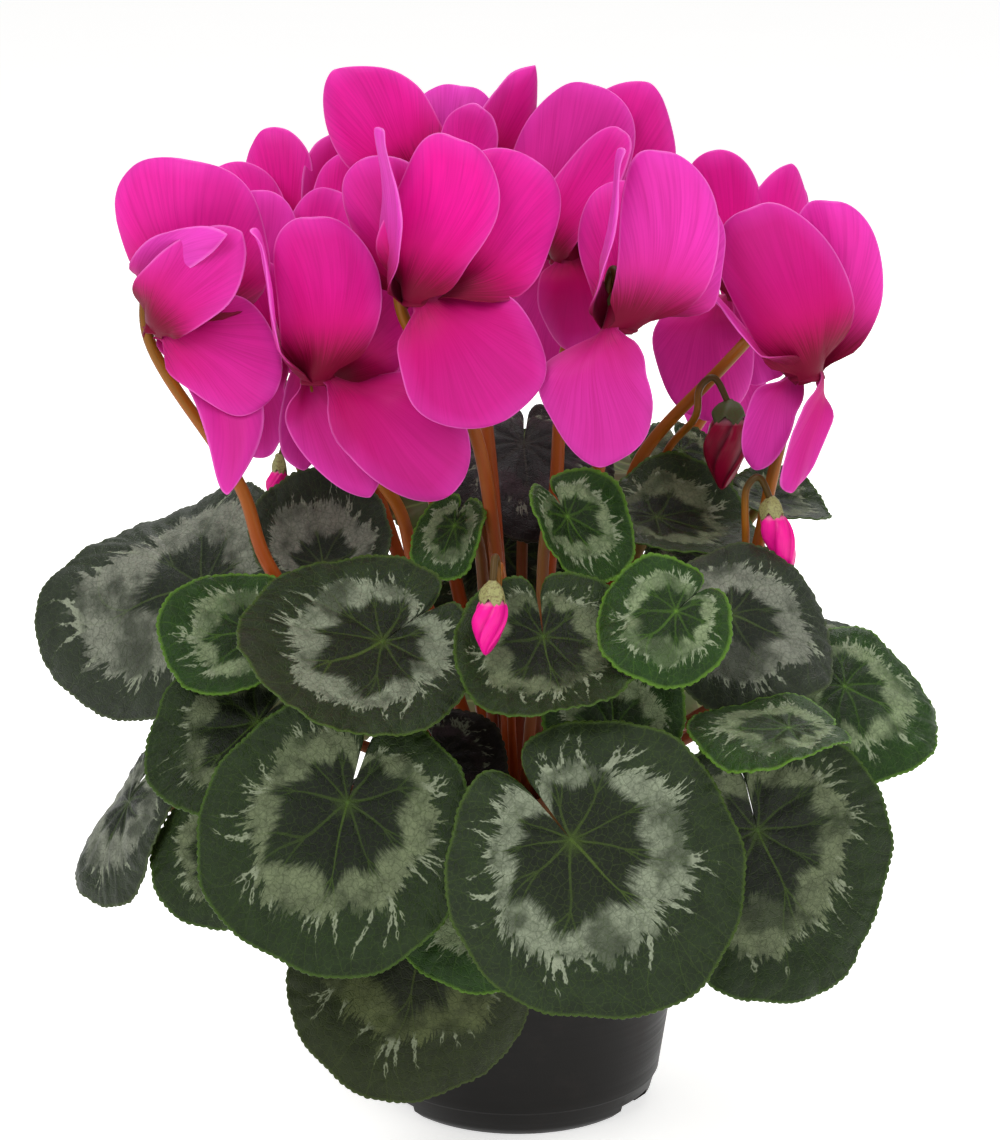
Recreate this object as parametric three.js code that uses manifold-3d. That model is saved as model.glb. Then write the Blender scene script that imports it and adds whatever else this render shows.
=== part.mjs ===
// A potted cyclamen: a black plastic nursery pot with soil, a half-buried tuber that carries every
// petiole and flower stalk, heart-shaped leaves in a dome, nodding blooms with swept-back petals, and buds.
// Millimetres, +Z up. The origin is the middle of the pot's foot, and -Y is the plant's front.
import * as THREE from "three";
import { mergeVertices } from "three/addons/utils/BufferGeometryUtils.js";
import Module from "manifold-3d";

const wasm = await Module();
wasm.setup();

const DEGREE = Math.PI / 180;
const UP = new THREE.Vector3(0, 0, 1);
const CLEARANCE = 0.3; // between pieces that touch
const TOLERANCE = 0.02; // of every solid, so that a join leaves no thinner sliver

// The pot: a 12 cm nursery pot with a stepped foot that is notched in three places.
const POT = {
  height: 100,
  rimRadius: 60,
  rimBand: 8,
  wall: 1.3,
  footRadius: 46,
  footTaper: 2.5,
  footHeight: 9,
  floor: 5,
  bossRadius: 14,
  sides: 32,
  notchAngles: [-150, -30, 90],
  notchHalfWidth: 11,
  notchHeight: 6,
};
const SOIL = { level: 91, crown: 4, sides: 24 };
const TUBER = { radius: 25, height: 30, middle: 88, sides: 12 };
// The petioles leave the tuber's crown on an outer ring, the stalks inside it.
const CROWN = { leafRadius: 18, stalkRadius: 11, height: 95.5 };

// Leaves. The junction with the petiole is off the centre of a round blade by this share of its radius.
const LEAF = {
  thickness: 0.9,
  offset: 0.26,
  slitPower: 16,
  slitEdge: 0.985,
  spokes: 16,
  innerRing: 0.55,
  petioleRadius: 1.7,
  petioleSides: 4,
  petioleSteps: 5,
  petioleNeck: 9,
  petioleArch: 10,
  petioleGap: 0.8,
};
// Petals are egg-shaped, widest past the middle, and their narrow end sits in the flower's mouth.
const PETAL = {
  thickness: 0.8,
  widest: 0.58,
  taper: 2,
  rootRadius: 4.9,
  rootDepth: 1.5,
  bow: 4,
  bowPeak: 0.105,
  twistEnd: 0.35,
  spokes: 10,
  innerRing: 0.6,
};
const MOUTH = { radius: 5.6, tubeRadius: 3.6, depth: 7, sides: 6 };
const STALK = {
  radius: 2.4,
  tipRadius: 1.3,
  sides: 5,
  steps: 12,
  hookStart: -6,
  hookReach: 7.5,
  hookRise: 17,
};
const ROLL = 2.4; // from each stem's edges to the next stem's, in radians
const CALYX = { radius: 3.4, height: 4.5, sides: 6 };
const BUD = {
  sides: 10,
  lobe: 0.12,
  twist: 0.3,
  hookGap: 3.2,
  hookRise: 9,
  stalkRadius: 1.4,
  calyxWidth: 0.75,
  calyxHeight: 5,
};

// Each leaf: at, its junction in mm; faces, the azimuth and elevation of its upper face (-90 is the front);
// turn, its tip's turn from straight downhill, positive to the right seen from the front; radius; its bend
// across and along in degrees at the edge; and the height of its waves as a share of its radius, their count
// and their phase in degrees. Some have lobes, given like the waves, or points that the petiole goes by.
const LEAVES = [
  {
    at: [-102, 2, 172], faces: [-108, 40], turn: -76, radius: 44, bend: [-25, -20], wave: [0.14, 3, 60],
    lobes: [0.1, 3, 30],
  },
  {
    at: [-82, -52, 171], faces: [-100, 48], turn: -75, radius: 23, bend: [20, 10], wave: [0.08, 3, 0],
    by: [[-46, -30, 158], [-70, -40, 173]],
  },
  { at: [-63, 0, 180], faces: [-92, 58], turn: -170, radius: 25, bend: [50, 40], wave: [0.06, 3, 90] },
  { at: [-41, -80, 176], faces: [-88, 52], turn: -55, radius: 36, bend: [25, 20], wave: [0.12, 2, 100] },
  { at: [-80, -67, 147], faces: [-104, 45], turn: -40, radius: 30, bend: [20, 0], wave: [0.14, 2, 150] },
  { at: [-125, -23, 107], faces: [-158, 35], turn: 5, radius: 27, bend: [-20, -15], wave: [0.08, 3, 0] },
  { at: [-90, -54, 104], faces: [-112, 14], turn: -35, radius: 24, bend: [-15, 0], wave: [0.06, 3, 30] },
  { at: [-51, -104, 133], faces: [-95, 20], turn: -16, radius: 41, bend: [12, 8], wave: [0.04, 3, 20] },
  { at: [-24, -66, 136], faces: [-75, 34], turn: 20, radius: 19, bend: [30, 0], wave: [0.08, 3, 20] },
  { at: [7, -93, 181], faces: [-88, 45], turn: 5, radius: 28, bend: [25, 30], wave: [0.07, 3, 150] },
  {
    at: [46, -98, 190], faces: [-94, 35], turn: -45, radius: 20, bend: [10, 0], wave: [0.2, 3, 100],
    by: [[20, -42, 162], [37, -68, 182]],
  },
  { at: [28, -84, 149], faces: [-88, 32], turn: 176, radius: 22, bend: [20, -10], wave: [0.08, 3, 40] },
  { at: [15, -118, 126], faces: [-88, 18], turn: 38, radius: 44, bend: [8, 6], wave: [0.05, 3, 80] },
  { at: [72, -88, 119], faces: [-64, 14], turn: 12, radius: 42, bend: [14, 4], wave: [0.05, 3, 20] },
  { at: [102, -42, 151], faces: [-62, 50], turn: 45, radius: 28, bend: [-10, -20], wave: [0.08, 3, 50] },
  { at: [65, -56, 178], faces: [-74, 42], turn: 55, radius: 29, bend: [-20, -15], wave: [0.12, 3, 10] },
  {
    at: [80, -97, 154], faces: [-88, 83], turn: -76, radius: 24, bend: [10, -10], wave: [0.08, 3, 60],
    by: [[48, -50, 140], [64, -76, 149]],
  },
  {
    at: [-29, -84, 82], faces: [-98, 8], turn: -22, radius: 40, bend: [-24, 10], wave: [0.08, 3, 30],
    by: [[-16, -46, 114], [-23, -70, 104]],
  },
  { at: [-8, -99, 110], faces: [-95, 10], turn: -15, radius: 30, bend: [5, 5], wave: [0.04, 3, 0] },
  { at: [82, 34, 194], faces: [-40, 68], turn: 30, radius: 18, bend: [30, 10], wave: [0.08, 3, 0] },
  { at: [106, 0, 152], faces: [-20, 65], turn: 0, radius: 28, bend: [-15, -15], wave: [0.08, 3, 45] },
  { at: [44, -10, 198], faces: [-70, 66], turn: 60, radius: 26, bend: [35, 0], wave: [0.08, 3, 0] },
  { at: [15, -44, 206], faces: [-60, 30], turn: 20, radius: 19, bend: [60, 10], wave: [0.1, 3, 60] },
  { at: [2, 28, 214], faces: [-88, 58], turn: -5, radius: 30, bend: [-15, -15], wave: [0.06, 3, 0] },
  { at: [-20, -35, 201], faces: [-130, 30], turn: 0, radius: 14, bend: [20, 0], wave: [0.1, 3, 0] },
  { at: [54, 35, 210], faces: [-70, 50], turn: 0, radius: 18, bend: [-15, -10], wave: [0.06, 3, 0] },
  { at: [62, 8, 180], faces: [-60, 40], turn: 10, radius: 26, bend: [-15, -10], wave: [0.06, 3, 30] },
  { at: [-95, 44, 140], faces: [150, 30], turn: 0, radius: 34, bend: [-12, -12], wave: [0.07, 3, 0] },
  { at: [-54, 91, 125], faces: [122, 28], turn: 10, radius: 35, bend: [10, -8], wave: [0.06, 3, 60] },
  { at: [4, 104, 120], faces: [90, 25], turn: -10, radius: 36, bend: [10, -5], wave: [0.06, 3, 20] },
  { at: [63, 84, 131], faces: [55, 28], turn: 5, radius: 32, bend: [-10, -8], wave: [0.07, 3, 90] },
  { at: [99, 40, 121], faces: [20, 26], turn: -5, radius: 30, bend: [10, -5], wave: [0.06, 3, 0] },
  { at: [-66, 50, 176], faces: [135, 52], turn: 0, radius: 28, bend: [-15, -15], wave: [0.08, 3, 30] },
  { at: [-14, 64, 198], faces: [95, 35], turn: 5, radius: 31, bend: [15, -12], wave: [0.07, 3, 70] },
  { at: [50, 78, 192], faces: [85, 48], turn: -10, radius: 31, bend: [-12, -12], wave: [0.08, 3, 10] },
  { at: [-5, 50, 172], faces: [-90, 30], turn: 0, radius: 29, bend: [15, -12], wave: [0.07, 3, 40] },
].map((leaf, i) => ({ name: `leaf_${String(i + 1).padStart(2, "0")}`, ...leaf }));

// Each bloom: mouth, the middle of the flower's mouth in mm; first, the azimuth of its first petal's root on
// the mouth's rim, with the others evenly round it; stalk, the azimuth of the stalk beside the mouth; by, the
// points that the stalk passes on its way up; and its petals. A petal is the vector from the mouth to its
// tip, the azimuth that its face looks to, its width, its cup across and its bend along in degrees, and how
// far its middle is swept to the right seen from that side, tip up.
const BLOOMS = [
  {
    name: "bloom_01",
    mouth: [-109, -42, 265],
    first: -122,
    stalk: 130,
    by: [[-78, -34, 186], [-86, -32, 213]],
    petals: [
      [24, -16, 33, -100, 26, 35, 0, 0],
      [37, -10, -14, -80, 34, -15, -10, 0],
      [12, -4, 50, -92, 48, -20, -10, 0],
      [20, -12, -50, -80, 20, 20, 5, -10],
      [22, -21, 31, -100, 14, 40, 0, -9],
    ],
  },
  {
    name: "bloom_02",
    mouth: [-61, -52, 251],
    first: -90,
    stalk: 115,
    by: [[-33, -12, 181], [-38, -24, 206]],
    petals: [
      [-1, -7, 50, -88, 32, -15, 5, 4],
      [43, -12, -31, -75, 35, -15, -10, 0],
      [26, 4, 26, -85, 28, -10, -10, 0],
      [17, -2, -36, -100, 24, 10, 0, 0],
      [-18, -13, 47, 5, 22, 10, 5, -7],
    ],
  },
  {
    name: "bloom_03",
    mouth: [-75, -8, 251],
    first: -78,
    stalk: 99,
    by: [[-42, 26, 172], [-64, 26, 206], [-73, 8, 228]],
    petals: [
      [-13, -6, 32, -75, 26, -10, 5, 0],
      [7, -6, -37, -60, 20, 15, 5, 0],
      [18, 6, 50, -95, 26, -10, -5, 0],
      [-8, -2, -34, -110, 20, 15, 0, 0],
      [-6, 0, 51, -85, 28, -10, -5, 0],
    ],
  },
  {
    name: "bloom_04",
    mouth: [-71, 32, 274],
    first: -102,
    stalk: 6,
    by: [[-52, 30, 215]],
    petals: [
      [2, -12, -36, -90, 28, -10, 0, 0],
      [21, -11, 38, -105, 24, -10, -5, 0],
      [12, 15, 40, -70, 22, 10, 0, 0],
      [-13, 14, 41, -110, 26, -10, -5, 0],
      [-25, -2, 31, -80, 28, -15, -10, 0],
    ],
  },
  {
    name: "bloom_05",
    mouth: [-24, 14, 301],
    first: -60,
    stalk: -24,
    by: [[-8, -3, 205], [-14, 8, 260]],
    petals: [
      [11, -17, 26, -100, 19, -10, -5, 0],
      [28, -2, 38, -55, 22, 15, -10, 0],
      [6, 18, 30, -95, 30, -10, 0, 0],
      [-8, 12, -38, 100, 30, -10, 0, 0],
      [-26, -8, 41, -85, 34, -15, -10, 0],
    ],
  },
  {
    name: "bloom_06",
    mouth: [-30, -58, 276],
    first: -134,
    stalk: 138,
    by: [[-7, -34, 191], [-15, -42, 238]],
    petals: [
      [10, -8, 50, -90, 31, -15, 5, 4],
      [28, -14, -33, -75, 44, -15, -10, 0],
      [34, 2, 42, -95, 38, -15, -10, 0],
      [-15, -1, 42, -103, 30, -10, -5, 0],
      [-10, -15, 53, -175, 20, 10, 5, 7],
    ],
  },
  {
    name: "bloom_07",
    mouth: [15, -4, 280],
    first: -78,
    stalk: 10,
    by: [[12, -5, 203], [15, 4, 250]],
    petals: [
      [4, -10, -28, -95, 24, -10, 0, 0],
      [22, -22, 1, -140, 32, 15, -5, 0],
      [31, 8, 52, -85, 36, -15, -10, 0],
      [8, -2, 54, -103, 38, -18, -10, 0],
      [15, -14, 42, -125, 20, 20, -5, 0],
    ],
  },
  {
    name: "bloom_08",
    mouth: [30, -54, 267],
    first: -146,
    stalk: 114,
    by: [[22, -28, 200], [27, -32, 235]],
    petals: [
      [-4, -12, -41, -88, 34, -15, -5, 0],
      [14, -9, 54, -86, 30, 5, 5, 7],
      [25, 6, 38, -85, 32, -10, -5, 0],
      [0, 16, 42, -100, 26, -10, 0, 0],
      [1, -14, 55, 178, 20, 10, 5, 6],
    ],
  },
  {
    name: "bloom_09",
    mouth: [72, 16, 265],
    first: 183,
    stalk: 1,
    by: [[40, 22, 172], [36, 18, 205], [66, 2, 245]],
    petals: [
      [-13, 8, -43, -88, 34, -10, 0, 0],
      [-10, -5, 47, -95, 27, -10, -5, 0],
      [13, -5, 43, -80, 22, -10, -5, 0],
      [23, 15, 28, -60, 22, 10, 5, 0],
      [8, 18, -32, 80, 26, -10, 0, 0],
    ],
  },
  {
    name: "bloom_10",
    mouth: [89, -30, 248],
    first: -66,
    stalk: 120,
    by: [[64, -24, 168], [74, -22, 185], [79, -18, 208]],
    petals: [
      [-17, -9, 54, -95, 36, -15, 5, 0],
      [-5, -8, -36, -25, 15, 15, 0, 0],
      [6, 2, 54, -90, 30, -15, 5, 5],
      [-16, 3, -31, -110, 15, 10, 0, 0],
      [-31, -2, 27, -5, 16, 10, 0, -6],
    ],
  },
  {
    name: "bloom_11",
    mouth: [-52, 74, 252],
    first: 72,
    stalk: 260,
    by: [[-28, 40, 195]],
    petals: [
      [6, 14, 48, 80, 30, -15, 5, 0],
      [-32, 8, 30, 150, 26, -15, 0, 0],
      [-16, -14, 44, 230, 24, -10, 0, 0],
      [24, -8, 40, 300, 26, -10, 0, 0],
      [14, 16, -40, 65, 34, -15, -5, 0],
    ],
  },
  {
    name: "bloom_12",
    mouth: [14, 72, 270],
    first: 84,
    stalk: 265,
    by: [[30, 40, 198]],
    petals: [
      [0, 18, -42, 95, 34, -15, -5, 0],
      [-28, 12, 38, 125, 30, -15, 0, 0],
      [-18, -11, 42, 225, 22, -10, 0, 0],
      [17, -10, 46, 290, 24, -10, 0, 0],
      [30, 12, 36, 50, 30, -15, 0, 0],
    ],
  },
  {
    name: "bloom_13",
    mouth: [78, 66, 246],
    first: 72,
    stalk: 240,
    by: [[42, 46, 190], [62, 60, 215]],
    petals: [
      [12, 14, 48, 60, 30, -15, 5, 0],
      [-10, 18, -42, 105, 34, -15, -5, 0],
      [-26, 5, 42, 160, 24, -10, 0, 0],
      [-4, -16, 45, 260, 24, -10, 0, 0],
      [30, -8, 36, -20, 28, -15, 0, 0],
    ],
  },
];

// Each bud hangs from a hooked stalk: top is where the bud leaves its calyx, lean is how far its tip lies
// from there in x and y, and length and radius are its own size.
const BUDS = [
  {
    top: [67, -6, 230], lean: [-2, 0], length: 24, radius: 7, stalk: 175,
    by: [[42, 18, 190], [48, 15, 214]],
  },
  {
    top: [79, -30, 204], lean: [6, -2], length: 19, radius: 5, stalk: 175,
    by: [[62, -20, 170], [71, -26, 188]],
  },
  {
    top: [-8, -106, 196], lean: [-2, -1], length: 17, radius: 5, stalk: 80,
    by: [[-4, -58, 180], [-6, -80, 200]],
  },
  {
    top: [-78, 24, 206], lean: [-3, 0], length: 10, radius: 3.2, stalk: 20,
    by: [[-56, 28, 186]],
  },
].map((bud, i) => ({ name: `bud_0${i + 1}`, ...bud }));

// Turns a three.js geometry into a manifold solid.
function solidOf(geometry) {
  const bare = geometry.index ? geometry.toNonIndexed() : geometry.clone();
  bare.deleteAttribute("normal");
  bare.deleteAttribute("uv");
  const merged = mergeVertices(bare, 1e-4);
  return new wasm.Manifold(
    new wasm.Mesh({
      numProp: 3,
      vertProperties: merged.attributes.position.array,
      triVerts: new Uint32Array(merged.index.array),
      tolerance: TOLERANCE,
    }),
  );
}

// Keeps the largest body of a solid, without any hollow that its union sealed.
function oneBody(solid) {
  const bodies = solid.decompose().filter((body) => body.volume() > 0);
  return bodies.sort((a, b) => b.volume() - a.volume())[0];
}

// The solid as a named three.js mesh.
function meshOf(name, solid, material) {
  const made = oneBody(solid).getMesh();
  const geometry = new THREE.BufferGeometry();
  geometry.setAttribute("position", new THREE.BufferAttribute(made.vertProperties, 3));
  geometry.setIndex(new THREE.BufferAttribute(made.triVerts, 1));
  const mesh = new THREE.Mesh(geometry, material);
  mesh.name = name;
  return mesh;
}

// A geometry from a list of points and a list of triangles.
function geometryOf(points, faces) {
  const geometry = new THREE.BufferGeometry();
  geometry.setAttribute("position", new THREE.Float32BufferAttribute(points.flatMap((p) => p.toArray()), 3));
  geometry.setIndex(faces.flat());
  return geometry;
}

function direction(azimuth, elevation) {
  const level = Math.cos(elevation * DEGREE);
  return new THREE.Vector3(
    level * Math.cos(azimuth * DEGREE),
    level * Math.sin(azimuth * DEGREE),
    Math.sin(elevation * DEGREE),
  );
}

// A blade of even thickness: flat points laid on a surface, with the same triangles on both of its faces
// and a wall along the border.
function bladeSolid(flat, faces, border, surface, thickness) {
  const step = 0.05;
  const upper = [];
  const lower = [];
  for (const [u, v] of flat) {
    const across = surface(u + step, v).sub(surface(u - step, v));
    const along = surface(u, v + step).sub(surface(u, v - step));
    const normal = across.cross(along).normalize();
    upper.push(surface(u, v).addScaledVector(normal, thickness / 2));
    lower.push(surface(u, v).addScaledVector(normal, -thickness / 2));
  }
  const count = flat.length;
  const triangles = [];
  for (const [a, b, c] of faces) {
    triangles.push([a, b, c], [count + a, count + c, count + b]);
  }
  border.forEach((a, i) => {
    const b = border[(i + 1) % border.length];
    triangles.push([a, count + a, b], [b, count + a, count + b]);
  });
  return solidOf(geometryOf([...upper, ...lower], triangles));
}

// How far a bend of an arc brings a point along, and how far it lifts it.
function bentBy(distance, curvature) {
  const angle = curvature * distance;
  if (Math.abs(angle) < 1e-4) return [distance, (curvature * distance * distance) / 2];
  return [Math.sin(angle) / curvature, (1 - Math.cos(angle)) / curvature];
}

// The outline of a leaf: a circle seen from the junction, shallowly lobed, pinched to a slit behind it.
function leafReach(angle, { radius, lobes: [depth, count, phase] = [0, 1, 0] }) {
  const round = LEAF.offset * Math.cos(angle) + Math.sqrt(1 - (LEAF.offset * Math.sin(angle)) ** 2);
  const slit = Math.sqrt(1 - (Math.abs(angle) / Math.PI) ** LEAF.slitPower);
  const lobe = 1 + depth * Math.cos(count * angle + phase * DEGREE);
  return radius * round * slit * lobe;
}

// The frame of a leaf: across, towards the tip, and out of the upper face.
function leafFrame(leaf) {
  const [azimuth, elevation] = leaf.faces;
  const normal = direction(azimuth, elevation);
  const tip = direction(azimuth, elevation - 90).applyAxisAngle(normal, leaf.turn * DEGREE);
  const across = tip.clone().cross(normal);
  return { normal, tip, across };
}

function leafSurface(leaf) {
  const { normal, tip, across } = leafFrame(leaf);
  const [acrossBend, alongBend] = leaf.bend.map((bend) => (bend * DEGREE) / leaf.radius);
  const [height, count, phase] = leaf.wave;
  return (u, v) => {
    const [x, liftAcross] = bentBy(u, acrossBend);
    const [y, liftAlong] = bentBy(v, alongBend);
    const out = (u * u + v * v) / leaf.radius ** 2;
    const wave = height * leaf.radius * out * Math.sin(count * Math.atan2(u, v) + phase * DEGREE);
    return new THREE.Vector3(...leaf.at)
      .addScaledVector(across, x)
      .addScaledVector(tip, y)
      .addScaledVector(normal, liftAcross + liftAlong + wave);
  };
}

// The triangles of a disc with a middle point, an inner ring and an outer ring of twice as many points. An
// open disc has a slit between its last and first points.
function discFaces(spokes, open) {
  const inner = spokes / 2;
  const innerAt = (i) => 1 + (open ? i : i % inner);
  const outerStart = 1 + inner + (open ? 1 : 0);
  const outerAt = (i) => outerStart + (open ? i : i % spokes);
  const faces = [];
  for (let i = 0; i < inner; i++) {
    faces.push([0, innerAt(i), innerAt(i + 1)]);
    faces.push([innerAt(i), outerAt(2 * i), outerAt(2 * i + 1)]);
    faces.push([innerAt(i), outerAt(2 * i + 1), innerAt(i + 1)]);
    faces.push([innerAt(i + 1), outerAt(2 * i + 1), outerAt(2 * i + 2)]);
  }
  const border = [];
  for (let i = 0; i < spokes; i++) border.push(outerAt(i));
  if (open) border.push(outerAt(spokes), innerAt(inner), 0, innerAt(0));
  return { faces, border };
}

function leafSolid(leaf) {
  const flat = [[0, 0]];
  const addRing = (share, count) => {
    for (let i = 0; i <= count; i++) {
      const side = 1 - (2 * i) / count;
      const spread = Math.sign(side) * (1 - (1 - Math.abs(side)) ** 1.5);
      const angle = spread * LEAF.slitEdge * Math.PI;
      const reach = share * leafReach(angle, leaf);
      flat.push([reach * Math.sin(angle), reach * Math.cos(angle)]);
    }
  };
  addRing(LEAF.innerRing, LEAF.spokes / 2);
  addRing(1, LEAF.spokes);
  const { faces, border } = discFaces(LEAF.spokes, true);
  return bladeSolid(flat, faces, border, leafSurface(leaf), LEAF.thickness);
}

// A round stem along a curve through points, its radius going evenly from one end's to the other's and its
// edges turned by a roll about the curve.
function stemSolid(points, steps, sides, radii, roll) {
  const curve = new THREE.CatmullRomCurve3(points, false, "centripetal");
  const rings = [];
  let side = null;
  for (let i = 0; i <= steps; i++) {
    const share = i / steps;
    const centre = curve.getPoint(share);
    const along = curve.getTangent(share);
    side = (side ?? new THREE.Vector3(Math.cos(roll), Math.sin(roll), 0).cross(along)).clone();
    side.addScaledVector(along, -side.dot(along)).normalize();
    const other = along.clone().cross(side);
    const radius = radii[0] + (radii[1] - radii[0]) * share;
    const ring = [];
    for (let k = 0; k < sides; k++) {
      const angle = (2 * Math.PI * k) / sides;
      ring.push(
        centre
          .clone()
          .addScaledVector(side, radius * Math.cos(angle))
          .addScaledVector(other, radius * Math.sin(angle)),
      );
    }
    rings.push(ring);
  }
  return ringsSolid(rings);
}

// A closed solid through rings of points, capped flat at both ends.
function ringsSolid(rings) {
  const sides = rings[0].length;
  const faces = [];
  for (let i = 0; i < rings.length - 1; i++) {
    for (let k = 0; k < sides; k++) {
      const a = i * sides + k;
      const b = i * sides + ((k + 1) % sides);
      faces.push([a, b, a + sides], [b, b + sides, a + sides]);
    }
  }
  const end = (rings.length - 1) * sides;
  for (let k = 1; k < sides - 1; k++) {
    faces.push([0, k + 1, k], [end, end + k, end + k + 1]);
  }
  return solidOf(geometryOf(rings.flat(), faces));
}

// Where a stem that heads for a place leaves a ring of the tuber's crown.
function crownPoint(x, y, radius) {
  const out = radius / Math.max(60, Math.hypot(x, y));
  return new THREE.Vector3(x * out, y * out, CROWN.height);
}

function petioleSolid(leaf, index) {
  const { normal, tip } = leafFrame(leaf);
  const junction = new THREE.Vector3(...leaf.at);
  const arrival = normal.clone().addScaledVector(tip, 0.3).normalize();
  const end = junction.clone().addScaledVector(normal, -LEAF.thickness / 2 - LEAF.petioleGap);
  const near = end.clone().addScaledVector(arrival, -LEAF.petioleNeck);
  const start = crownPoint(junction.x, junction.y, CROWN.leafRadius);
  const arch = start.clone().lerp(near, 0.55);
  arch.z += LEAF.petioleArch;
  const way = leaf.by ? leaf.by.map((point) => new THREE.Vector3(...point)) : [arch];
  const points = [start, ...way, near, end];
  const radii = [LEAF.petioleRadius * 1.15, LEAF.petioleRadius];
  return stemSolid(points, LEAF.petioleSteps, LEAF.petioleSides, radii, ROLL * index);
}

// The hooked end of a stalk that reaches from low over the top and down to a calyx whose top is at end.
function hookPoints(mouth, azimuth, reach, [low, top, end]) {
  const side = direction(azimuth, 0);
  return [
    mouth.clone().addScaledVector(side, reach).addScaledVector(UP, low),
    mouth
      .clone()
      .addScaledVector(side, reach * 0.95)
      .addScaledVector(UP, top * 0.7),
    mouth
      .clone()
      .addScaledVector(side, reach * 0.5)
      .addScaledVector(UP, top),
    mouth.clone().addScaledVector(UP, end),
  ];
}

function stalkSolid(bloom, index) {
  const mouth = new THREE.Vector3(...bloom.mouth);
  const way = bloom.by.map((point) => new THREE.Vector3(...point));
  const end = MOUTH.depth + CALYX.height - 1;
  const points = [
    crownPoint(way[0].x, way[0].y, CROWN.stalkRadius),
    ...way,
    ...hookPoints(mouth, bloom.stalk, STALK.hookReach, [STALK.hookStart, STALK.hookRise, end]),
  ];
  return stemSolid(points, STALK.steps, STALK.sides, [STALK.radius, STALK.tipRadius], ROLL * index);
}

// A turned solid about a vertical line through a place, from a profile of radius and height.
function turnedSolid(profile, sides, place = [0, 0, 0]) {
  const geometry = new THREE.LatheGeometry(
    profile.map(([radius, height]) => new THREE.Vector2(radius, height)),
    sides,
  );
  geometry.rotateX(Math.PI / 2);
  geometry.translate(...place);
  const solid = solidOf(geometry);
  if (solid.volume() > 0) return solid;
  geometry.index.array.reverse();
  return solidOf(geometry);
}

function calyxSolid(bloom) {
  const { radius, height, sides } = CALYX;
  const profile = [
    [0, 0],
    [radius, 0],
    [radius * 0.72, height * 0.6],
    [STALK.tipRadius, height],
    [0, height],
  ];
  const [x, y, z] = bloom.mouth;
  return turnedSolid(profile, sides, [x, y, z + MOUTH.depth + CLEARANCE]);
}

// The middle surface of a petal, from its root on the mouth's rim.
function petalSurface(bloom, index) {
  const [x, y, z, azimuth, width, cup, bend, sweep] = bloom.petals[index];
  const mouth = new THREE.Vector3(...bloom.mouth);
  const rootAzimuth = bloom.first + (360 * index) / bloom.petals.length;
  const outward = direction(rootAzimuth, 0);
  const root = mouth.clone().addScaledVector(outward, PETAL.rootRadius);
  const along = new THREE.Vector3(x, y, z).add(mouth).sub(root);
  const length = along.length();
  along.normalize();
  const across = along.clone().cross(direction(azimuth, 0)).normalize();
  const rootAcross = along.clone().cross(outward).normalize();
  if (rootAcross.dot(across) < 0) rootAcross.negate();
  const cupping = (cup * DEGREE) / (width / 2);
  const bending = (bend * DEGREE) / length;
  const surface = (u, v) => {
    const [right, liftAcross] = bentBy(u, cupping);
    const [far, liftAlong] = bentBy(v, bending);
    const share = v / length;
    const swept = 4 * sweep * share * (1 - share);
    const bowed = (PETAL.bow * share * (1 - share) ** 3) / PETAL.bowPeak;
    const twisted = THREE.MathUtils.smoothstep(share, 0, PETAL.twistEnd);
    const side = rootAcross.clone().lerp(across, twisted).normalize();
    const normal = side.clone().cross(along);
    return root
      .clone()
      .addScaledVector(side, right + swept)
      .addScaledVector(along, far)
      .addScaledVector(normal, liftAcross + liftAlong)
      .addScaledVector(outward, bowed);
  };
  return { surface, length, width };
}

function petalSolid(bloom, index) {
  const { surface, length, width } = petalSurface(bloom, index);
  const middle = length * PETAL.widest;
  const flat = [[0, middle]];
  const addRing = (share, count) => {
    for (let i = 0; i < count; i++) {
      const angle = ((i * PETAL.spokes) / count + 0.5) * ((2 * Math.PI) / PETAL.spokes);
      const sine = Math.sin(angle);
      const cosine = Math.cos(angle);
      const narrow = sine < 0 ? Math.abs(cosine) ** PETAL.taper : Math.abs(cosine);
      const reach = sine < 0 ? middle + PETAL.rootDepth : length - middle;
      flat.push([share * (width / 2) * Math.sign(cosine) * narrow, middle + share * reach * sine]);
    }
  };
  addRing(PETAL.innerRing, PETAL.spokes / 2);
  addRing(1, PETAL.spokes);
  const { faces, border } = discFaces(PETAL.spokes, false);
  return bladeSolid(flat, faces, border, surface, PETAL.thickness);
}

function bloomSolid(bloom) {
  const profile = [
    [0, 0],
    [MOUTH.radius * 0.6, -1],
    [MOUTH.radius, -1.5],
    [MOUTH.tubeRadius, MOUTH.depth],
    [0, MOUTH.depth],
  ];
  let solid = turnedSolid(profile, MOUTH.sides, bloom.mouth);
  for (let i = 0; i < bloom.petals.length; i++) solid = solid.add(petalSolid(bloom, i));
  return solid;
}

// The furled petals of a bud, a spindle with a blunt top and a pointed tip.
function budSolid(bud) {
  const { sides, lobe, twist } = BUD;
  const shape = [
    [0, 0.6],
    [0.15, 0.9],
    [0.4, 1],
    [0.7, 0.72],
    [0.9, 0.36],
    [1, 0.08],
  ];
  const rings = shape.map(([share, width], i) => {
    const ring = [];
    for (let k = 0; k < sides; k++) {
      const angle = (2 * Math.PI * k) / sides + i * twist;
      const across = bud.radius * width * (1 + lobe * (k % 2 ? -1 : 1));
      ring.push(
        new THREE.Vector3(
          bud.top[0] + bud.lean[0] * share + across * Math.cos(angle),
          bud.top[1] + bud.lean[1] * share - across * Math.sin(angle),
          bud.top[2] - bud.length * share,
        ),
      );
    }
    return ring;
  });
  return ringsSolid(rings);
}

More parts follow.
